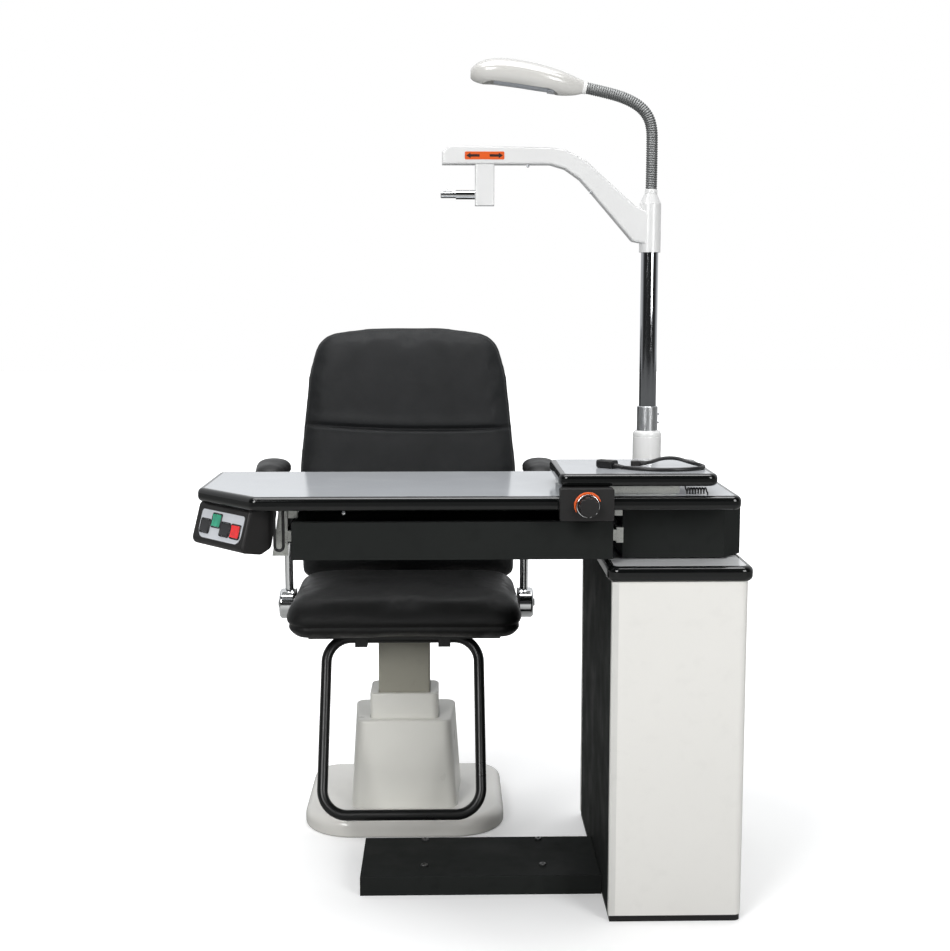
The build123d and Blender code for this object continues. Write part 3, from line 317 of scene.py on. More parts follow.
def metal(name, color, rough, streak=(1, 1, 1), depth=0.00001):
    """Bare or plated metal with fine drawn streaks along one way."""
    look = Look(name, color, rough, Metallic=1.0)
    drawn = look.noise(900.0, 3, look.stretched(streak))
    look.tint(look.ranged(look.noise(16.0, 4), 0.35, 0.7), shade(color, 0.88))
    look.roughness(drawn, 0.25, 0.75, rough * 0.7, min(1, rough * 1.35))
    look.bump(drawn, depth)
    return look


def cord_look(name, color, rough):
    """Soft cable jacket with a little dust."""
    look = Look(name, color, rough, Specular_IOR_Level=0.4)
    look.tint(look.ranged(look.noise(70.0, 4), 0.5, 0.8), shade(color, 2.0))
    look.roughness(look.noise(60.0, 3), 0.3, 0.7, rough * 0.85, rough * 1.2)
    look.bump(look.noise(1500.0, 2), 0.00003)
    return look


# One look for each of the record's material slots, by the slot's name.
LOOKS = {
    "white_paint": painted("white_paint", (0.80, 0.79, 0.76), 0.33, 0.00003, 0.97,
                           Coat_Weight=0.15, Coat_Roughness=0.2),
    "black_paint": painted("black_paint", (0.0195, 0.0212, 0.0204), 0.6, 0.00006, 0.88,
                           Specular_IOR_Level=0.03),
    "trim_aluminium": painted("trim_aluminium", (0.74, 0.735, 0.71), 0.35, 0.00002, 0.96,
                              Metallic=0.25),
    "black_edge": moulded("black_edge", (0.0035, 0.0040, 0.0040), 0.11, 0.000003,
                          Specular_IOR_Level=0.42, Coat_Weight=0.12, Coat_Roughness=0.04),
    "zinc_steel": metal("zinc_steel", (0.62, 0.63, 0.60), 0.32, (1, 0.05, 1)),
    "bearing_steel": metal("bearing_steel", (0.5, 0.5, 0.5), 0.22),
    "black_plastic": moulded("black_plastic", (0.0135, 0.0130, 0.0130), 0.45,
                             Specular_IOR_Level=0.3),
    "grey_plastic": moulded("grey_plastic", (0.55, 0.56, 0.56), 0.4),
    "rocker_black": moulded("rocker_black", (0.012, 0.012, 0.014), 0.22, 0.00001),
    "chrome": metal("chrome", (0.80, 0.81, 0.82), 0.07, (1, 1, 0.05), 0.000002),
    "arm_white": painted("arm_white", (0.76, 0.762, 0.760), 0.3, 0.00003, 0.985,
                         Coat_Weight=0.3, Coat_Roughness=0.12),
    "white_plastic": moulded("white_plastic", (0.87, 0.87, 0.86), 0.2, 0.000004,
                             Coat_Weight=0.5, Coat_Roughness=0.06),
    "shroud_plastic": moulded("shroud_plastic", (0.80, 0.795, 0.745), 0.32, 0.00001,
                              Coat_Weight=0.2, Coat_Roughness=0.2),
    "column_grey": painted("column_grey", (0.34, 0.33, 0.275), 0.36),
    "gooseneck_grey": metal("gooseneck_grey", (0.215, 0.22, 0.22), 0.52),
    "reflector": metal("reflector", (0.42, 0.42, 0.43), 0.2, (0.05, 1, 1)),
    "leather_black": leather("leather_black", (0.0118, 0.0130, 0.0143), 0.52, 0.27),
    "pad_black": moulded("pad_black", (0.012, 0.012, 0.0125), 0.5, 0.00008, 520.0,
                         Specular_IOR_Level=0.35),
    "frame_black": painted("frame_black", (0.0060, 0.0064, 0.0064), 0.3, 0.00003, 0.9,
                           Specular_IOR_Level=0.4),
    "cord_black": cord_look("cord_black", (0.0065, 0.0065, 0.007), 0.36),
    "transformer": painted("transformer", (0.3, 0.31, 0.31), 0.4),
}


def laminate_look(name, color):
    """Pressed laminate: a fine two-tone speckle under a smooth, slightly wiped surface."""
    look = Look(name, color, 0.12, Specular_IOR_Level=0.42)
    look.tint(look.ranged(look.noise(900.0, 2), 0.5, 0.62), shade(color, 0.93))
    look.tint(look.ranged(look.cells(520.0), 0.0, 0.35, 0.5, 0.0), shade(color, 1.12))
    look.roughness(look.noise(11.0, 5), 0.3, 0.75, 0.09, 0.17)
    look.bump(look.noise(140.0, 2), 0.00002)
    return look


def panel_look():
    """Silver printed foil of the control panel."""
    look = Look("panel_silver", (0.70, 0.72, 0.76), 0.34, Metallic=0.2)
    look.tint(look.ranged(look.noise(30.0, 3), 0.4, 0.7), (0.64, 0.66, 0.70))
    look.roughness(look.noise(240.0, 3), 0.3, 0.7, 0.28, 0.42)
    look.bump(look.noise(1800.0, 1), 0.00001)
    return look


def lens_look(name, color, glow):
    """A tinted translucent rocker with a painted glow, a little emission in its own colour."""
    look = Look(name, color, 0.16, Coat_Weight=0.3, Coat_Roughness=0.05,
                Subsurface_Weight=0.2, Subsurface_Scale=0.004, Emission_Strength=glow)
    # Painted glow: emission in the rocker's own colour brightens it.
    look.shader.inputs["Emission Color"].default_value = (*color, 1.0)
    look.tint(look.ranged(look.noise(90.0, 2), 0.35, 0.65), shade(color, 1.5))
    look.roughness(look.noise(300.0, 2), 0.3, 0.7, 0.12, 0.2)
    look.bump(look.noise(500.0, 1), 0.00002)
    return look


def tube_look():
    """Frosted fluorescent tube."""
    look = Look("lamp_glass", (0.40, 0.42, 0.46), 0.22, Coat_Weight=0.7, Coat_Roughness=0.04)
    look.tint(look.ranged(look.noise(120.0, 3), 0.5, 0.8), (0.35, 0.37, 0.40))
    look.roughness(look.noise(700.0, 2), 0.3, 0.7, 0.18, 0.28)
    look.bump(look.noise(1600.0, 1), 0.000008)
    return look


LOOKS["laminate"] = laminate_look("laminate", (0.58, 0.60, 0.63))
LOOKS["panel_silver"] = panel_look()
# Both rockers get a painted glow: a little emission that brightens them.
LOOKS["rocker_green"] = lens_look("rocker_green", (0.008, 0.26, 0.15), 0.10)
LOOKS["rocker_red"] = lens_look("rocker_red", (0.60, 0.006, 0.008), 0.12)
LOOKS["lamp_glass"] = tube_look()
# Variants of a slot's look, for single nodes and pieces.
LOOKS["pole_chrome"] = metal("pole_chrome", (0.46, 0.47, 0.49), 0.07, (1, 1, 0.05), 0.000002)
LOOKS["clamp_steel"] = metal("clamp_steel", (0.62, 0.63, 0.64), 0.30, (1, 1, 0.03), 0.00004)
LOOKS["screw_dark"] = metal("screw_dark", (0.13, 0.13, 0.13), 0.4)
LOOKS["cover_cream"] = moulded("cover_cream", (0.82, 0.805, 0.765), 0.22, 0.000004,
                               Coat_Weight=0.4, Coat_Roughness=0.08)
# Painted shade: a darker copy of the leather for the seat, where less light falls than on the back.
LOOKS["seat_leather_painted_shade"] = leather("seat_leather_painted_shade", (0.0030, 0.0033, 0.0034), 0.40, 0.30)
# Painted light: a lighter copy of the laminate for the cabinet's top, brighter for the light it catches.
LOOKS["cabinet_laminate_painted_light"] = laminate_look("cabinet_laminate_painted_light", (0.86, 0.87, 0.88))
LOOKS["lamp_cream"] = moulded("lamp_cream", (0.66, 0.65, 0.625), 0.2, 0.000004,
                              Coat_Weight=0.5, Coat_Roughness=0.06)
LOOKS["sign_orange"] = moulded("sign_orange", (0.74, 0.105, 0.012), 0.32, 0.000004)
LOOKS["sign_black"] = moulded("sign_black", (0.02, 0.008, 0.006), 0.35, 0.000004)
VARIANTS = {"lamp_shell": "lamp_cream", "pole_tube": "pole_chrome", "pole_clamp": "clamp_steel",
            "base_plate_screws": "screw_dark", "chair_base_cover": "cover_cream",
            "cabinet_top": "cabinet_laminate_painted_light"}


def dressed(obj, look):
    """Gives an object one of the looks."""
    obj.data.materials.clear()
    obj.data.materials.append(LOOKS[look].material)


def piece(name, data, body, look):
    """Links a finished mesh as a piece of the object that rides on a body, and dresses it."""
    obj = linked(name, data)
    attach(obj, body)
    dressed(obj, look)
    return obj


for row in frame["record"]["subparts"]:
    dressed(nodes[row["node"]], VARIANTS.get(row["node"], row["material_slot"]))


# ---- leads --------------------------------------------------------------------------------
# Routes along the CAD's cords, in metres.
CORD_ROUTE = (
    (-0.062, -0.156, 0.8376), (-0.045, -0.156, 0.8376), (-0.022, -0.153, 0.846),
    (0.006, -0.152, 0.847), (0.032, -0.164, 0.839), (0.050, -0.188, 0.8363),
    (0.047, -0.216, 0.8363), (0.026, -0.237, 0.8363), (-0.004, -0.248, 0.8363),
    (-0.038, -0.249, 0.8363), (-0.070, -0.238, 0.8363), (-0.098, -0.214, 0.8363),
)
CORD_R, CORD_SIDES = 0.0035, 24
cord_line = spline_points(CORD_ROUTE)
tray_lead = piece("tray_lead", tube("tray_lead", cord_line, CORD_R, CORD_SIDES), "tray",
                  "cord_black")
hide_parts("tray_cord")

CABLE_ROUTE = (
    (-0.7105, -0.245, 0.768), (-0.7105, -0.245, 0.745), (-0.7105, -0.245, 0.712),
    (-0.7105, -0.245, 0.692), (-0.726, -0.245, 0.692), (-0.726, -0.245, 0.712),
    (-0.726, -0.245, 0.745), (-0.726, -0.245, 0.768),
)
CABLE_R, CABLE_SIDES = 0.0027, 16
cable_line = spline_points(CABLE_ROUTE)
pod_lead = piece("pod_lead", tube("pod_lead", cable_line, CABLE_R, CABLE_SIDES), "table",
                 "cord_black")
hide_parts("pod_cable")


# ---- upholstery ---------------------------------------------------------------------------
SIM_FRAMES, SIM_PRESSURE = 20, 4.0
LEAST_RADIUS = 0.004


def turned(outline_of, profile, place):
    """A pad's rings: profile lists (inset, height), and place puts (u, v, height) in space."""
    return [[place(u, v, height) for u, v in outline_of(inset)] for inset, height in profile]


def rounded_rectangle(half_w, half_d, radius, steps=10):
    """Gives the outline of a rounded rectangle pulled in by an inset."""
    def outline(inset):
        r = max(radius - inset, LEAST_RADIUS)
        w, d = max(half_w - inset, r), max(half_d - inset, r)
        points = []
        for corner, (sx, sy) in enumerate(((1, 1), (-1, 1), (-1, -1), (1, -1))):
            for k in range(steps + 1):
                angle = pi / 2 * (corner + k / steps)
                points.append((sx * (w - r) + r * cos(angle), sy * (d - r) + r * sin(angle)))
        return points
    return outline


def padded_profile(inset, edge, height, low_edge, dome, flat=0.03, crown=0.13):
    """Insets and heights of a pad's rings, from its flat underside over its crowned top. edge
    and low_edge round its top and bottom; flat and crown are how far those two reach in."""
    rows = [(inset + low_edge + flat, 0.0), (inset + low_edge, 0.0)]
    for k in range(1, 6):
        a = pi / 2 * k / 5
        rows.append((inset + low_edge * (1 - sin(a)), low_edge * (1 - cos(a))))
    for k in range(0, 7):
        a = pi / 2 * k / 6
        rows.append((inset + edge * (1 - cos(a)), height - dome - edge + edge * sin(a)))
    for share in (0.3, 0.6, 0.85, 0.97):
        rows.append((inset + edge + share * crown, height - dome * (1 - share) ** 2))
    return rows


def applied(obj):
    """Puts an object's evaluated mesh in place of its own and drops its modifiers."""
    graph = bpy.context.evaluated_depsgraph_get()
    mesh = bpy.data.meshes.new_from_object(obj.evaluated_get(graph))
    obj.modifiers.clear()
    old = obj.data
    obj.data = mesh
    bpy.data.meshes.remove(old)


def softened(obj, voxel):
    """Adds modifiers that remesh a closed form evenly and round off its edges."""
    remesh = obj.modifiers.new("remesh", "REMESH")
    remesh.mode = "VOXEL"
    remesh.voxel_size = voxel
    soften = obj.modifiers.new("soften", "SMOOTH")
    soften.factor, soften.iterations = 0.5, 6


def refined(obj):
    """Subdivides the form once, applies its modifiers and shades it smooth."""
    finer = obj.modifiers.new("finer", "SUBSURF")
    finer.levels = finer.render_levels = 1
    applied(obj)
    shaded(obj.data)


def stuffed(name, mesh, voxel, cap, limits):
    """Remeshes a closed form, swells it with a short cloth simulation like a stuffed cover, and
    caps each point's move. Points stay inside limits, a lowest and highest corner."""
    obj = linked(name, mesh)
    softened(obj, voxel * (1.0))
    applied(obj)
    rest = [Vector(v.co) for v in obj.data.vertices]
    cloth = obj.modifiers.new("cloth", "CLOTH")
    cloth.settings.quality = 4
    cloth.settings.use_pressure = True
    cloth.settings.uniform_pressure_force = SIM_PRESSURE
    cloth.settings.effector_weights.gravity = 0.0
    cloth.point_cache.frame_start = 1
    cloth.point_cache.frame_end = SIM_FRAMES
    for step in range(1, SIM_FRAMES + 1):
        scene.frame_set(step)
    applied(obj)
    scene.frame_set(1)
    lowest, highest = limits
    for vertex, was in zip(obj.data.vertices, rest):
        move = vertex.co - was
        if move.length > cap:
            move *= cap / move.length
        spot = was + move
        vertex.co = [min(max(spot[i], lowest[i]), highest[i]) for i in range(3)]
    smooth = obj.modifiers.new("smooth", "SMOOTH")
    smooth.factor, smooth.iterations = 0.4, 3
    refined(obj)
    return obj


def fitted(obj, origin, axes, low, high):
    """Stretches a pad so that it just fills the given lengths along three axes."""
    spots = [[(v.co - origin).dot(axis) for axis in axes] for v in obj.data.vertices]
    for i in range(3):
        least, most = min(p[i] for p in spots), max(p[i] for p in spots)
        for p in spots:
            p[i] = low[i] + (p[i] - least) * (high[i] - low[i]) / (most - least)
    for vertex, p in zip(obj.data.vertices, spots):
        vertex.co = origin + sum((axis * value for axis, value in zip(axes, p)), Vector())
    obj.data.update()


def sewn(obj, depth_at):
    """Moves each point along its normal by what depth_at says for its place and normal."""
    moved = [v.normal * depth_at(v.co, v.normal) for v in obj.data.vertices]
    for vertex, move in zip(obj.data.vertices, moved):
        vertex.co += move
    obj.data.update()


def ridge(distance, height, width):
    """A smooth ridge, or a groove where height is negative, that fades over a few widths."""
    return height * exp(-((distance / width) ** 2))


def sideways(share):
    """1 on a face that looks sideways, 0 on one that looks up. share is how far it looks up."""
    return 1.0 - min(1.0, abs(share) * 1.2)


def wrinkles(spot, waves, most):
    """A cover's slow wrinkles: waves lists (height, waves per metre), and most caps them."""
    return min(sum(height * noise.noise(spot * rate) for height, rate in waves), most)


SEAT_LOW, SEAT_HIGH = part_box("seat_cushion")
SEAT_MID = (SEAT_LOW + SEAT_HIGH) / 2
SEAT_HALF_W, SEAT_HALF_D = (SEAT_HIGH.x - SEAT_LOW.x) / 2, (SEAT_HIGH.y - SEAT_LOW.y) / 2
SEAT_SAG = 0.27  # how much lower its front and rear edges are than its middle, as a share
SEAT_RADIUS, SEAT_EDGE, SEAT_LOW_EDGE, SEAT_DOME = 0.055, 0.036, 0.028, 0.008
PAD_VOXEL = 0.006
START_IN, START_LOW = 0.006, 0.004  # a pad starts this much smaller, because it swells
AXES = (Vector((1, 0, 0)), Vector((0, 1, 0)), Vector((0, 0, 1)))
SKIN = Vector((0.0008, 0.0008, 0.0004))

seat_rings = turned(
    rounded_rectangle(SEAT_HALF_W, SEAT_HALF_D, SEAT_RADIUS),
    padded_profile(START_IN, SEAT_EDGE, SEAT_HIGH.z - SEAT_LOW.z - START_LOW, SEAT_LOW_EDGE,
                   SEAT_DOME),
    lambda u, v, w: Vector((SEAT_MID.x + u, SEAT_MID.y + v,
                            SEAT_LOW.z + w * (1 - SEAT_SAG * (v / SEAT_HALF_D) ** 2))))
seat = stuffed("seat_pad", rings_mesh("seat_pad", seat_rings), PAD_VOXEL, 0.010,
               (SEAT_LOW, SEAT_HIGH))
fitted(seat, Vector(), AXES, SEAT_LOW + SKIN, SEAT_HIGH - SKIN)

# The seam's height, the height of the roll above it, and each one's (height, width) as a ridge.
SEAT_SEAM_Z, SEAT_ROLL_Z = 0.472, 0.014
SEAT_TUCK, SEAT_ROLL = (-0.0042, 0.0042), (0.0016, 0.009)
SEAT_WAVES, SEAT_WAVE_MOST = ((0.0016, 9.0), (0.0008, 26.0)), 0.0006


def seat_seam(spot, normal):
    """The boxing seam round the seat, and the slow wrinkles of its cover."""
    tuck = ridge(spot.z - SEAT_SEAM_Z, *SEAT_TUCK)
    roll = ridge(spot.z - SEAT_SEAM_Z - SEAT_ROLL_Z, *SEAT_ROLL)
    return sideways(normal.z) * (tuck + roll) + wrinkles(spot, SEAT_WAVES, SEAT_WAVE_MOST)


sewn(seat, seat_seam)
# The seat's leather is darker by painted shade.
dressed(seat, "seat_leather_painted_shade")
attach(seat, "seat")
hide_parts("seat_cushion")

# The back leans: u runs across it, v up it from its foot, and w out of it to the front.
BACK_LEAN = radians(4.0)
BACK_UP = Vector((0, sin(BACK_LEAN), cos(BACK_LEAN)))
BACK_OUT = Vector((0, -cos(BACK_LEAN), sin(BACK_LEAN)))
BACK_FOOT, BACK_HALF = Vector((-0.507, 0.462, 0.502)), 0.036
BACK_LOW, BACK_HIGH = (-0.2474, 0.0008, -0.0354), (0.2474, 0.5735, 0.0354)
# Its corners: u, v and the radius that rounds them.
BACK_CORNERS = (
    (-0.240, 0.0, 0.040), (0.240, 0.0, 0.040), (0.248, 0.25, 0.3), (0.226, 0.455, 0.11),
    (0.198, 0.552, 0.085), (0.075, 0.571, 0.4), (-0.075, 0.571, 0.4), (-0.198, 0.552, 0.085),
    (-0.226, 0.455, 0.11), (-0.248, 0.25, 0.3))
BACK_MIDDLE, BACK_RIM = Vector((0.0, 0.28)), 0.05
BACK_REAR_EDGE, BACK_FRONT_EDGE, BACK_DOME = 0.026, 0.030, 0.005


def back_outline(inset):
    """The back's outline, with rounded lower corners and a bowed top, pulled in by an inset:
    parallel to itself over the rim, and towards the middle beyond it."""
    points = []
    for i, (u, v, radius) in enumerate(BACK_CORNERS):
        here = Vector((u, v))
        before = Vector(BACK_CORNERS[i - 1][:2]) - here
        after = Vector(BACK_CORNERS[(i + 1) % len(BACK_CORNERS)][:2]) - here
        turn = pi - before.angle(after)
        reach = min(radius * abs(turn) / 2, 0.46 * before.length, 0.46 * after.length)
        start, end = here + before.normalized() * reach, here + after.normalized() * reach
        for k in range(9):
            t = k / 8
            points.append(start * (1 - t) ** 2 + here * 2 * t * (1 - t) + end * t ** 2)
    pulled = []
    for i, point in enumerate(points):
        along = points[(i + 1) % len(points)] - points[i - 1]
        inward = Vector((-along.y, along.x)).normalized()
        if inward.dot(BACK_MIDDLE - point) < 0:
            inward = -inward
        spot = point + inward * min(inset, BACK_RIM)
        pulled.append(spot + (BACK_MIDDLE - spot) * max(0.0, (inset - BACK_RIM) / 0.24))
    return pulled


def back_profile():
    """Insets and heights of the back's rings, from its rear over its edge to its front."""
    rear, edge = -BACK_HALF + START_IN, BACK_REAR_EDGE
    rows = [(0.12, rear)]
    for k in range(0, 7):
        a = pi / 2 * k / 6
        rows.append((START_IN + edge * (1 - sin(a)), rear + edge * (1 - cos(a))))
    edge = BACK_FRONT_EDGE
    front = BACK_HALF - START_IN - BACK_DOME - edge
    for k in range(0, 7):
        a = pi / 2 * k / 6
        rows.append((START_IN + edge * (1 - cos(a)), front + edge * sin(a)))
    for inset, height in ((0.07, 0.0285), (0.12, 0.0305), (0.19, 0.0315), (0.25, 0.032)):
        rows.append((inset, height))
    return rows


back_rings = turned(back_outline, back_profile(),
                    lambda u, v, w: BACK_FOOT + Vector((u, 0, 0)) + BACK_UP * v + BACK_OUT * w)
back = stuffed("back_pad", rings_mesh("back_pad", back_rings), PAD_VOXEL, 0.009,
               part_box("back_cushion"))
fitted(back, BACK_FOOT, (AXES[0], BACK_UP, BACK_OUT), BACK_LOW, BACK_HIGH)

# The fold's ridges: how far each is above the fold's line, its height and its width.
BACK_FOLD = ((0.0, -0.0105, 0.0042), (0.016, 0.0015, 0.012), (-0.014, -0.0008, 0.012))
BACK_SEAM_W, BACK_TUCK = 0.006, (-0.003, 0.0038)
BACK_WAVES, BACK_WAVE_MOST = ((0.0012, 8.0), (0.0005, 24.0)), 0.0005


def back_seam(spot, normal):
    """The fold across the back, where the upper pad hangs over the lower, and the edge seam.
    The fold's line sags in the middle, tilts a little, and fades towards the sides."""
    local = spot - BACK_FOOT
    u, v, w = local.x, local.dot(BACK_UP), local.dot(BACK_OUT)
    front = max(0.0, normal.dot(BACK_OUT))
    reach = 1.0 - min(1.0, max(0.0, (abs(u) - 0.12) / 0.12)) * 0.45
    line = 0.3422 + 0.0075 * (u / 0.22) ** 2 - 0.0042 * u / 0.22
    fold = sum(ridge(v - line - up, height, width) for up, height, width in BACK_FOLD)
    tuck = ridge(w - BACK_SEAM_W, *BACK_TUCK) * sideways(normal.dot(BACK_OUT))
    return front * reach * fold + tuck + wrinkles(spot, BACK_WAVES, BACK_WAVE_MOST)


sewn(back, back_seam)
dressed(back, "leather_black")
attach(back, "seat")
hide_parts("back_cushion")

ARM_WIDER, ARM_TAPER = 1.14, 0.30  # the arm pads beside their CAD, and their front's loss
ARM_INWARD, ARM_OUTWARD = 0.0095, 0.003  # how far the front end, and the whole pad, is moved
ARM_SAG = 0.10  # how much lower its two ends are than its middle, as a share
ARM_VOXEL, ARM_SEAM_Z, ARM_TUCK = 0.004, 0.010, (-0.0012, 0.0016)


def pad_rings(low, high, inward):
    """Rings of an armrest pad: a low dome whose front end is narrower and set inwards."""
    mid, half_d = (low + high) / 2, (high.y - low.y) / 2
    outline = rounded_rectangle((high.x - low.x) / 2, half_d, 0.035, 12)
    rows = [(0.030, 0.0), (0.010, 0.0), (0.004, 0.0008), (0.0012, 0.003), (0.0, 0.008),
            (0.0, 0.012)]
    rows += [(0.028 * (1 - cos(pi / 2 * k / 7)), 0.012 + 0.0205 * sin(pi / 2 * k / 7))
             for k in range(1, 8)]
    rows.append((0.033, 0.0334))
    rings = []
    for inset, height in rows:
        ring = []
        for u, v in outline(inset):
            front = (1 - v / half_d) / 2
            across = (ARM_WIDER * u * (1 - ARM_TAPER * front)
                      + inward * (ARM_INWARD * front - ARM_OUTWARD))
            ring.append(Vector((mid.x + across, mid.y + v,
                                low.z + height * (1 - ARM_SAG * (v / half_d) ** 2))))
        rings.append(ring)
    return rings


for word, inward in (("left", 1), ("right", -1)):
    low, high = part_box(f"armrest_pad_{word}")
    pad = linked(f"arm_pad_{word}",
                 rings_mesh(f"arm_pad_{word}", pad_rings(low, high, inward)))
    softened(pad, ARM_VOXEL)
    refined(pad)
    sewn(pad, lambda spot, normal: ridge(spot.z - low.z - ARM_SEAM_Z, *ARM_TUCK)
         * (1.0 - min(1.0, abs(normal.z))))
    dressed(pad, "pad_black")
    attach(pad, f"armrest_{word}")
    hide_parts(f"armrest_pad_{word}")


# ---- gooseneck and small fittings ---------------------------------------------------------
def lathe(name, profile, foot, axis, sides=32):
    """A turned piece: profile lists (radius, height) along an axis from its foot."""
    axis = Vector(axis).normalized()
    side = axis.orthogonal().normalized()
    other = axis.cross(side)
    rings = []
    for radius, height in profile:
        centre = Vector(foot) + axis * height
        rings.append([centre + (side * cos(tau * k / sides) + other * sin(tau * k / sides))
                      * max(radius, 0.00005) for k in range(sides)])
    return rings_mesh(name, rings)


def plate(name, outline, thickness, plane, bevel=0.0003):
    """A flat piece with eased edges. plane is (origin, along, up, out)."""
    origin, along, up, out = plane
    middle = sum((Vector(p) for p in outline), Vector((0, 0))) / len(outline)
    rings = []
    for shrink, height in ((0.0, 0.0), (0.0, thickness - bevel), (bevel, thickness)):
        ring = []
        for p in outline:
            point = Vector(p)
            point -= (point - middle).normalized() * shrink
            ring.append(origin + along * point.x + up * point.y + out * height)
        rings.append(ring)
    return shaded(rings_mesh(name, rings), False)


# The neck's line in the plane y = 0.180, in millimetres.
NECK_POINTS = [Vector((x / 1000, 0.180, z / 1000)) for x, z in (
    (1, 1351), (1.5, 1385), (1.5, 1420), (1.5, 1452), (1, 1481), (-6, 1506), (-24, 1527),
    (-53, 1542.5), (-92, 1554), (-143, 1564.5))]
NECK_PITCH, NECK_R, NECK_RIB = 0.0046, 0.0097, 0.0021


def even_run(points, step):
    """The same line with its points a step apart."""
    out, spare = [points[0]], 0.0
    for a, b in zip(points, points[1:]):
        length = (b - a).length
        at = step - spare
        while at < length:
            out.append(a.lerp(b, at / length))
            at += step
        spare = length - (at - step)
    return out


def rib(walked, turn):
    """The radius of the wound hose, whose rounded rib climbs one pitch each turn."""
    phase = (walked / NECK_PITCH + turn) % 1.0
    return NECK_R + NECK_RIB * abs(sin(pi * phase)) ** 0.55


neck_line = even_run(spline_points(NECK_POINTS, 24), NECK_PITCH / 8)
neck = linked("gooseneck_hose", tube("gooseneck_hose", neck_line, rib, 28))
dressed(neck, "gooseneck_grey")
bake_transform(neck)
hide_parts("gooseneck")

FERRULE = [(0.0112, 0.0), (0.0124, 0.0006), (0.0127, 0.002), (0.0127, 0.008), (0.0122, 0.0095),
           (0.0114, 0.0102)]
piece("neck_ferrule_low",
      lathe("neck_ferrule_low", FERRULE, (0.001, 0.18, 1.3515), (0, 0, 1)),
      "arm", "arm_white")
piece("neck_ferrule_top",
      lathe("neck_ferrule_top", FERRULE, NECK_POINTS[-1], NECK_POINTS[-2] - NECK_POINTS[-1]),
      "lamp", "white_plastic")

# The arm's orange sign: a plain arrow each way, for the hanger's slide.
SIGN = (Vector((-0.340, 0.1598, 1.4265)), Vector((1, 0, 0)), Vector((0, 0, 1)),
        Vector((0, -1, 0)))
SIGN_W, SIGN_H = 0.080, 0.0155
ARROW_FROM, ARROW_THICK = 0.0006, 0.0004


def corner_cut(half_w, half_h, cut):
    """A rectangle with its four corners cut off."""
    return [(half_w - cut, half_h), (-half_w + cut, half_h), (-half_w, half_h - cut),
            (-half_w, -half_h + cut), (-half_w + cut, -half_h), (half_w - cut, -half_h),
            (half_w, -half_h + cut), (half_w, half_h - cut)]


piece("arm_sign", plate("arm_sign", corner_cut(SIGN_W / 2, SIGN_H / 2, 0.0015), 0.0007, SIGN),
      "arm", "sign_orange")
for side, word in ((-1, "left"), (1, "right")):
    arrow = [(side * 0.037, 0.0), (side * 0.0285, 0.0056), (side * 0.0285, 0.0024),
             (side * 0.010, 0.0024), (side * 0.010, -0.0024), (side * 0.0285, -0.0024),
             (side * 0.0285, -0.0056)]
    origin, along, up, out = SIGN
    flat = [origin + out * ARROW_FROM + along * x + up * z for x, z in arrow]
    proud = [p + out * ARROW_THICK for p in flat]
    arrow_mesh = shaded(rings_mesh(f"arrow_{word}", [flat, proud]), False)
    piece(f"sign_arrow_{word}", arrow_mesh, "arm", "sign_black")

# Small screws on the arm's lower edge, and the drawer's stop under the table.
SCREW = [(0.0006, 0.0), (0.0027, 0.0), (0.0030, 0.0004), (0.0027, 0.0011), (0.0015, 0.0013),
         (0.0012, 0.0008), (0.0004, 0.0008)]
for word, x, z in (("left", -0.2523, 1.4056), ("right", -0.1249, 1.3534)):
    piece(f"arm_screw_{word}",
          lathe(f"arm_screw_{word}", SCREW, (x, 0.1602, z), (0, -1, 0), 20),
          "arm", "pole_chrome")
STOP = [(0.0028, 0.0), (0.0028, 0.009), (0.0036, 0.0095), (0.0040, 0.0115), (0.0036, 0.0140),
        (0.0018, 0.0150)]
piece("drawer_stop", lathe("drawer_stop", STOP, (-0.603, -0.235, 0.7685), (0, 0, -1), 20),
      "table", "chrome")

# The lock's orange scale ring and the chrome washer behind the knob.
KNOB = Vector((-0.172, -0.309, 0.780))


def ring_arc(name, centre, radius, thick, first, last, steps=48, sides=12):
    """A tapered round arc that faces the operator, from one angle to another."""
    rings = []
    for i in range(steps + 1):
        share = i / steps
        angle = radians(first + (last - first) * share)
        out = Vector((cos(angle), 0, sin(angle)))
        r = thick * min(1.0, 0.35 + 4.0 * min(share, 1 - share))
        rings.append([centre + out * (radius + r * cos(tau * k / sides))
                      + Vector((0, r * 0.45 * sin(tau * k / sides), 0)) for k in range(sides)])
    return rings_mesh(name, rings)


piece("lock_scale",
      ring_arc("lock_scale", KNOB + Vector((0, -0.0004, 0)), 0.0228, 0.0021, 208, 20),
      "tray", "sign_orange")
WASHER = [(0.012, 0.0), (0.0203, 0.0), (0.0206, 0.0006), (0.0203, 0.0014), (0.0196, 0.0016),
          (0.012, 0.0016)]
piece("lock_washer", lathe("lock_washer", WASHER, KNOB, (0, -1, 0), 48), "tray", "chrome")

# Black frames round the four rockers, in the axes of the sloping control panel.
ALONG = Vector((0.6605, -0.75083, 0.0)).normalized()
UPWARD = Vector((0.21186, 0.18637, 0.95936)).normalized()
OUTWARD = ALONG.cross(UPWARD)
PIVOTS = {j["child"]: Vector(j["pos_m"]) for j in frame["joints"]
          if j["child"].startswith("rocker")}
BEZEL = ((0.0138, 0.0118, -0.0008), (0.0138, 0.0118, 0.0016), (0.0143, 0.0123, 0.0021),
         (0.0153, 0.0133, 0.0021), (0.0158, 0.0138, 0.0016), (0.0158, 0.0138, -0.0002))
for rocker, pivot in sorted(PIVOTS.items()):
    rings = []
    for half_w, half_h, height in BEZEL:
        outline = rounded_rectangle(half_w, half_h, LEAST_RADIUS, 3)(0.0)
        rings.append([pivot + OUTWARD * (0.001 + height) + ALONG * u + UPWARD * v
                      for u, v in outline])
    piece(f"{rocker}_bezel", rings_mesh(f"{rocker}_bezel", rings, close_ends=False), "table",
          "rocker_black")

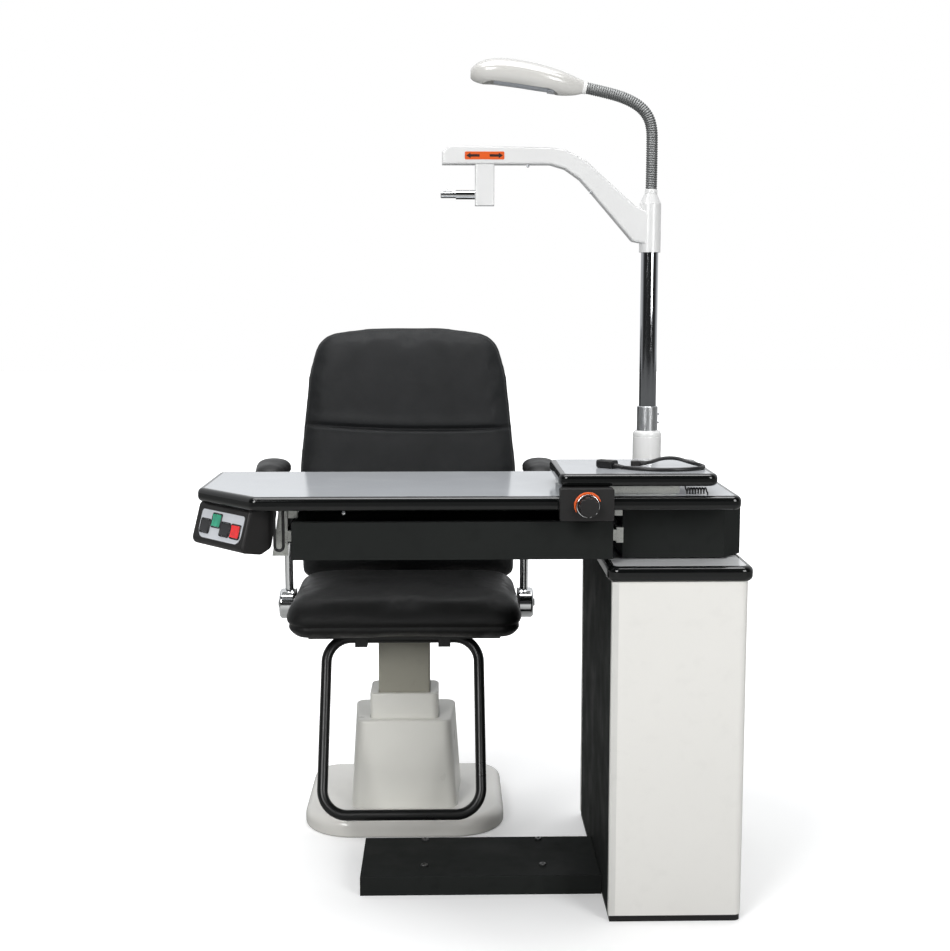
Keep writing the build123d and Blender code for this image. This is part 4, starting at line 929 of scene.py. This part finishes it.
# The curly lead between table and tray stretches as the tray slides.
TURNS, STEPS = 7, 12
HELIX_R, HELIX_X0, HELIX_X1, HELIX_Y, HELIX_Z = 0.0052, 0.0425, 0.0075, -0.262, 0.8004
helix = [Vector((0.0455, -0.262, 0.7932)), Vector((0.0455, -0.2640, 0.7950)),
         Vector((0.0445, -0.2668, 0.7975))]
for k in range(TURNS * STEPS + 1):
    share = k / (TURNS * STEPS)
    angle = -pi - tau * k / STEPS
    helix.append(Vector((HELIX_X0 + (HELIX_X1 - HELIX_X0) * share,
                         HELIX_Y + HELIX_R * cos(angle), HELIX_Z + HELIX_R * sin(angle))))
helix += [Vector((0.0060, -0.2670, 0.8035)), Vector((0.0048, -0.2645, 0.8070)),
          Vector((0.0045, -0.262, 0.8104))]
CURLY_R = 0.0014
curly_line = spline_points(helix, 4)
curly = linked("curly_cable", tube("curly_cable", curly_line, CURLY_R, 10))
dressed(curly, "cord_black")
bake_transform(curly)
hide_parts("curly_lead")

# Tapered strain relief where the tray's lead leaves its grommet.
RELIEF = [(0.0036, -0.001), (0.0048, 0.0), (0.0048, 0.003), (0.0043, 0.004), (0.0046, 0.0055),
          (0.0041, 0.0065), (0.0044, 0.008), (0.0039, 0.009), (0.0042, 0.0105),
          (0.0037, 0.0118), (0.0036, 0.013)]
piece("lead_relief", lathe("lead_relief", RELIEF, CORD_ROUTE[0], (1, 0, 0), 20), "tray",
      "cord_black")


# ---- stage --------------------------------------------------------------------------------
# A white floor that glows away from the unit. Only the camera sees it so bright: what it
# bounces back onto the unit is greyer.
FLOOR_HALF = 20
GLOW_FROM, GLOW_TO, GLOW_LEAST, GLOW_MOST = 0.45, 1.7, 0.20, 1.0  # by distance, in metres
floor_mesh = bpy.data.meshes.new("floor")
floor_mesh.from_pydata([(x * FLOOR_HALF, y * FLOOR_HALF, 0)
                        for x, y in ((-1, -1), (1, -1), (1, 1), (-1, 1))], [], [(0, 1, 2, 3)])
floor = linked("floor", floor_mesh)
floor_look = Look("floor_white", (0.86, 0.86, 0.86), 0.6, Specular_IOR_Level=0.1)
far_out = floor_look.add("ShaderNodeVectorMath", {0: floor_look.place}, operation="LENGTH")
glow = floor_look.ranged(far_out.outputs["Value"], GLOW_FROM, GLOW_TO, GLOW_LEAST, GLOW_MOST)
floor_look.tree.links.new(glow, floor_look.shader.inputs["Emission Strength"])
floor_look.shader.inputs["Emission Color"].default_value = (1.0, 1.0, 1.0, 1.0)
ray = floor_look.add("ShaderNodeLightPath")
bounce = floor_look.add("ShaderNodeBsdfDiffuse", Color=(0.46, 0.46, 0.45, 1.0))
either = floor_look.add("ShaderNodeMixShader", {
    "Fac": ray.outputs["Is Camera Ray"], 1: bounce.outputs[0], 2: floor_look.shader.outputs[0]})
floor_look.tree.links.new(either.outputs[0],
                          floor_look.tree.nodes["Material Output"].inputs["Surface"])
floor_mesh.materials.append(floor_look.material)
floor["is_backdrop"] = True

# The camera sees plain white. All else is lit by a studio that is dark in front of the unit
# and bright behind it and overhead.
world = bpy.data.worlds.new("studio")
scene.world = world
world.use_nodes = True
sky = world.node_tree
sky.nodes.clear()
direction = add_node(sky, "ShaderNodeTexCoord").outputs["Generated"]
split = add_node(sky, "ShaderNodeSeparateXYZ", {0: direction})
depth = add_range(sky, split.outputs["Y"], -0.25, 0.55, 0.035, 0.78, "SMOOTHSTEP")
ceiling = add_range(sky, split.outputs["Z"], 0.80, 0.96, 0.0, 0.8, "SMOOTHSTEP")
strength = add_node(sky, "ShaderNodeMath", {0: depth, 1: ceiling}, operation="ADD")
seen = add_node(sky, "ShaderNodeLightPath")
plain = add_node(sky, "ShaderNodeBackground", Color=(1.0, 1.0, 1.0, 1.0), Strength=1.0)
studio = add_node(sky, "ShaderNodeBackground", {"Strength": strength.outputs[0]},
                  Color=(0.97, 0.985, 1.0, 1.0))
choose = add_node(sky, "ShaderNodeMixShader", {
    "Fac": seen.outputs["Is Camera Ray"], 1: studio.outputs[0], 2: plain.outputs[0]})
add_node(sky, "ShaderNodeOutputWorld", {"Surface": choose.outputs[0]})

AIM = Vector((-0.4, 0.0, 0.75))


def softbox(name, place, width, height, power, only_gloss=False):
    """A soft studio lamp that faces the unit; one for gloss only adds no diffuse light."""
    lamp = bpy.data.lights.new(name, "AREA")
    lamp.shape = "RECTANGLE"
    lamp.size, lamp.size_y, lamp.energy = width, height, power
    holder = linked(name, lamp)
    holder.location = place
    holder.rotation_euler = (AIM - Vector(place)).to_track_quat("-Z", "Y").to_euler()
    holder.visible_diffuse = not only_gloss


# Each lamp's place, width, height and power in watts.
softbox("key", (-2.0, -3.0, 2.3), 1.3, 1.8, 84)
softbox("fill", (1.8, -3.0, 1.9), 1.2, 1.7, 60)
softbox("top", (-0.4, 0.2, 3.6), 2.6, 1.8, 34)
softbox("strip", (-0.4, -0.45, 3.1), 3.0, 0.45, 46, only_gloss=True)

low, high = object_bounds()
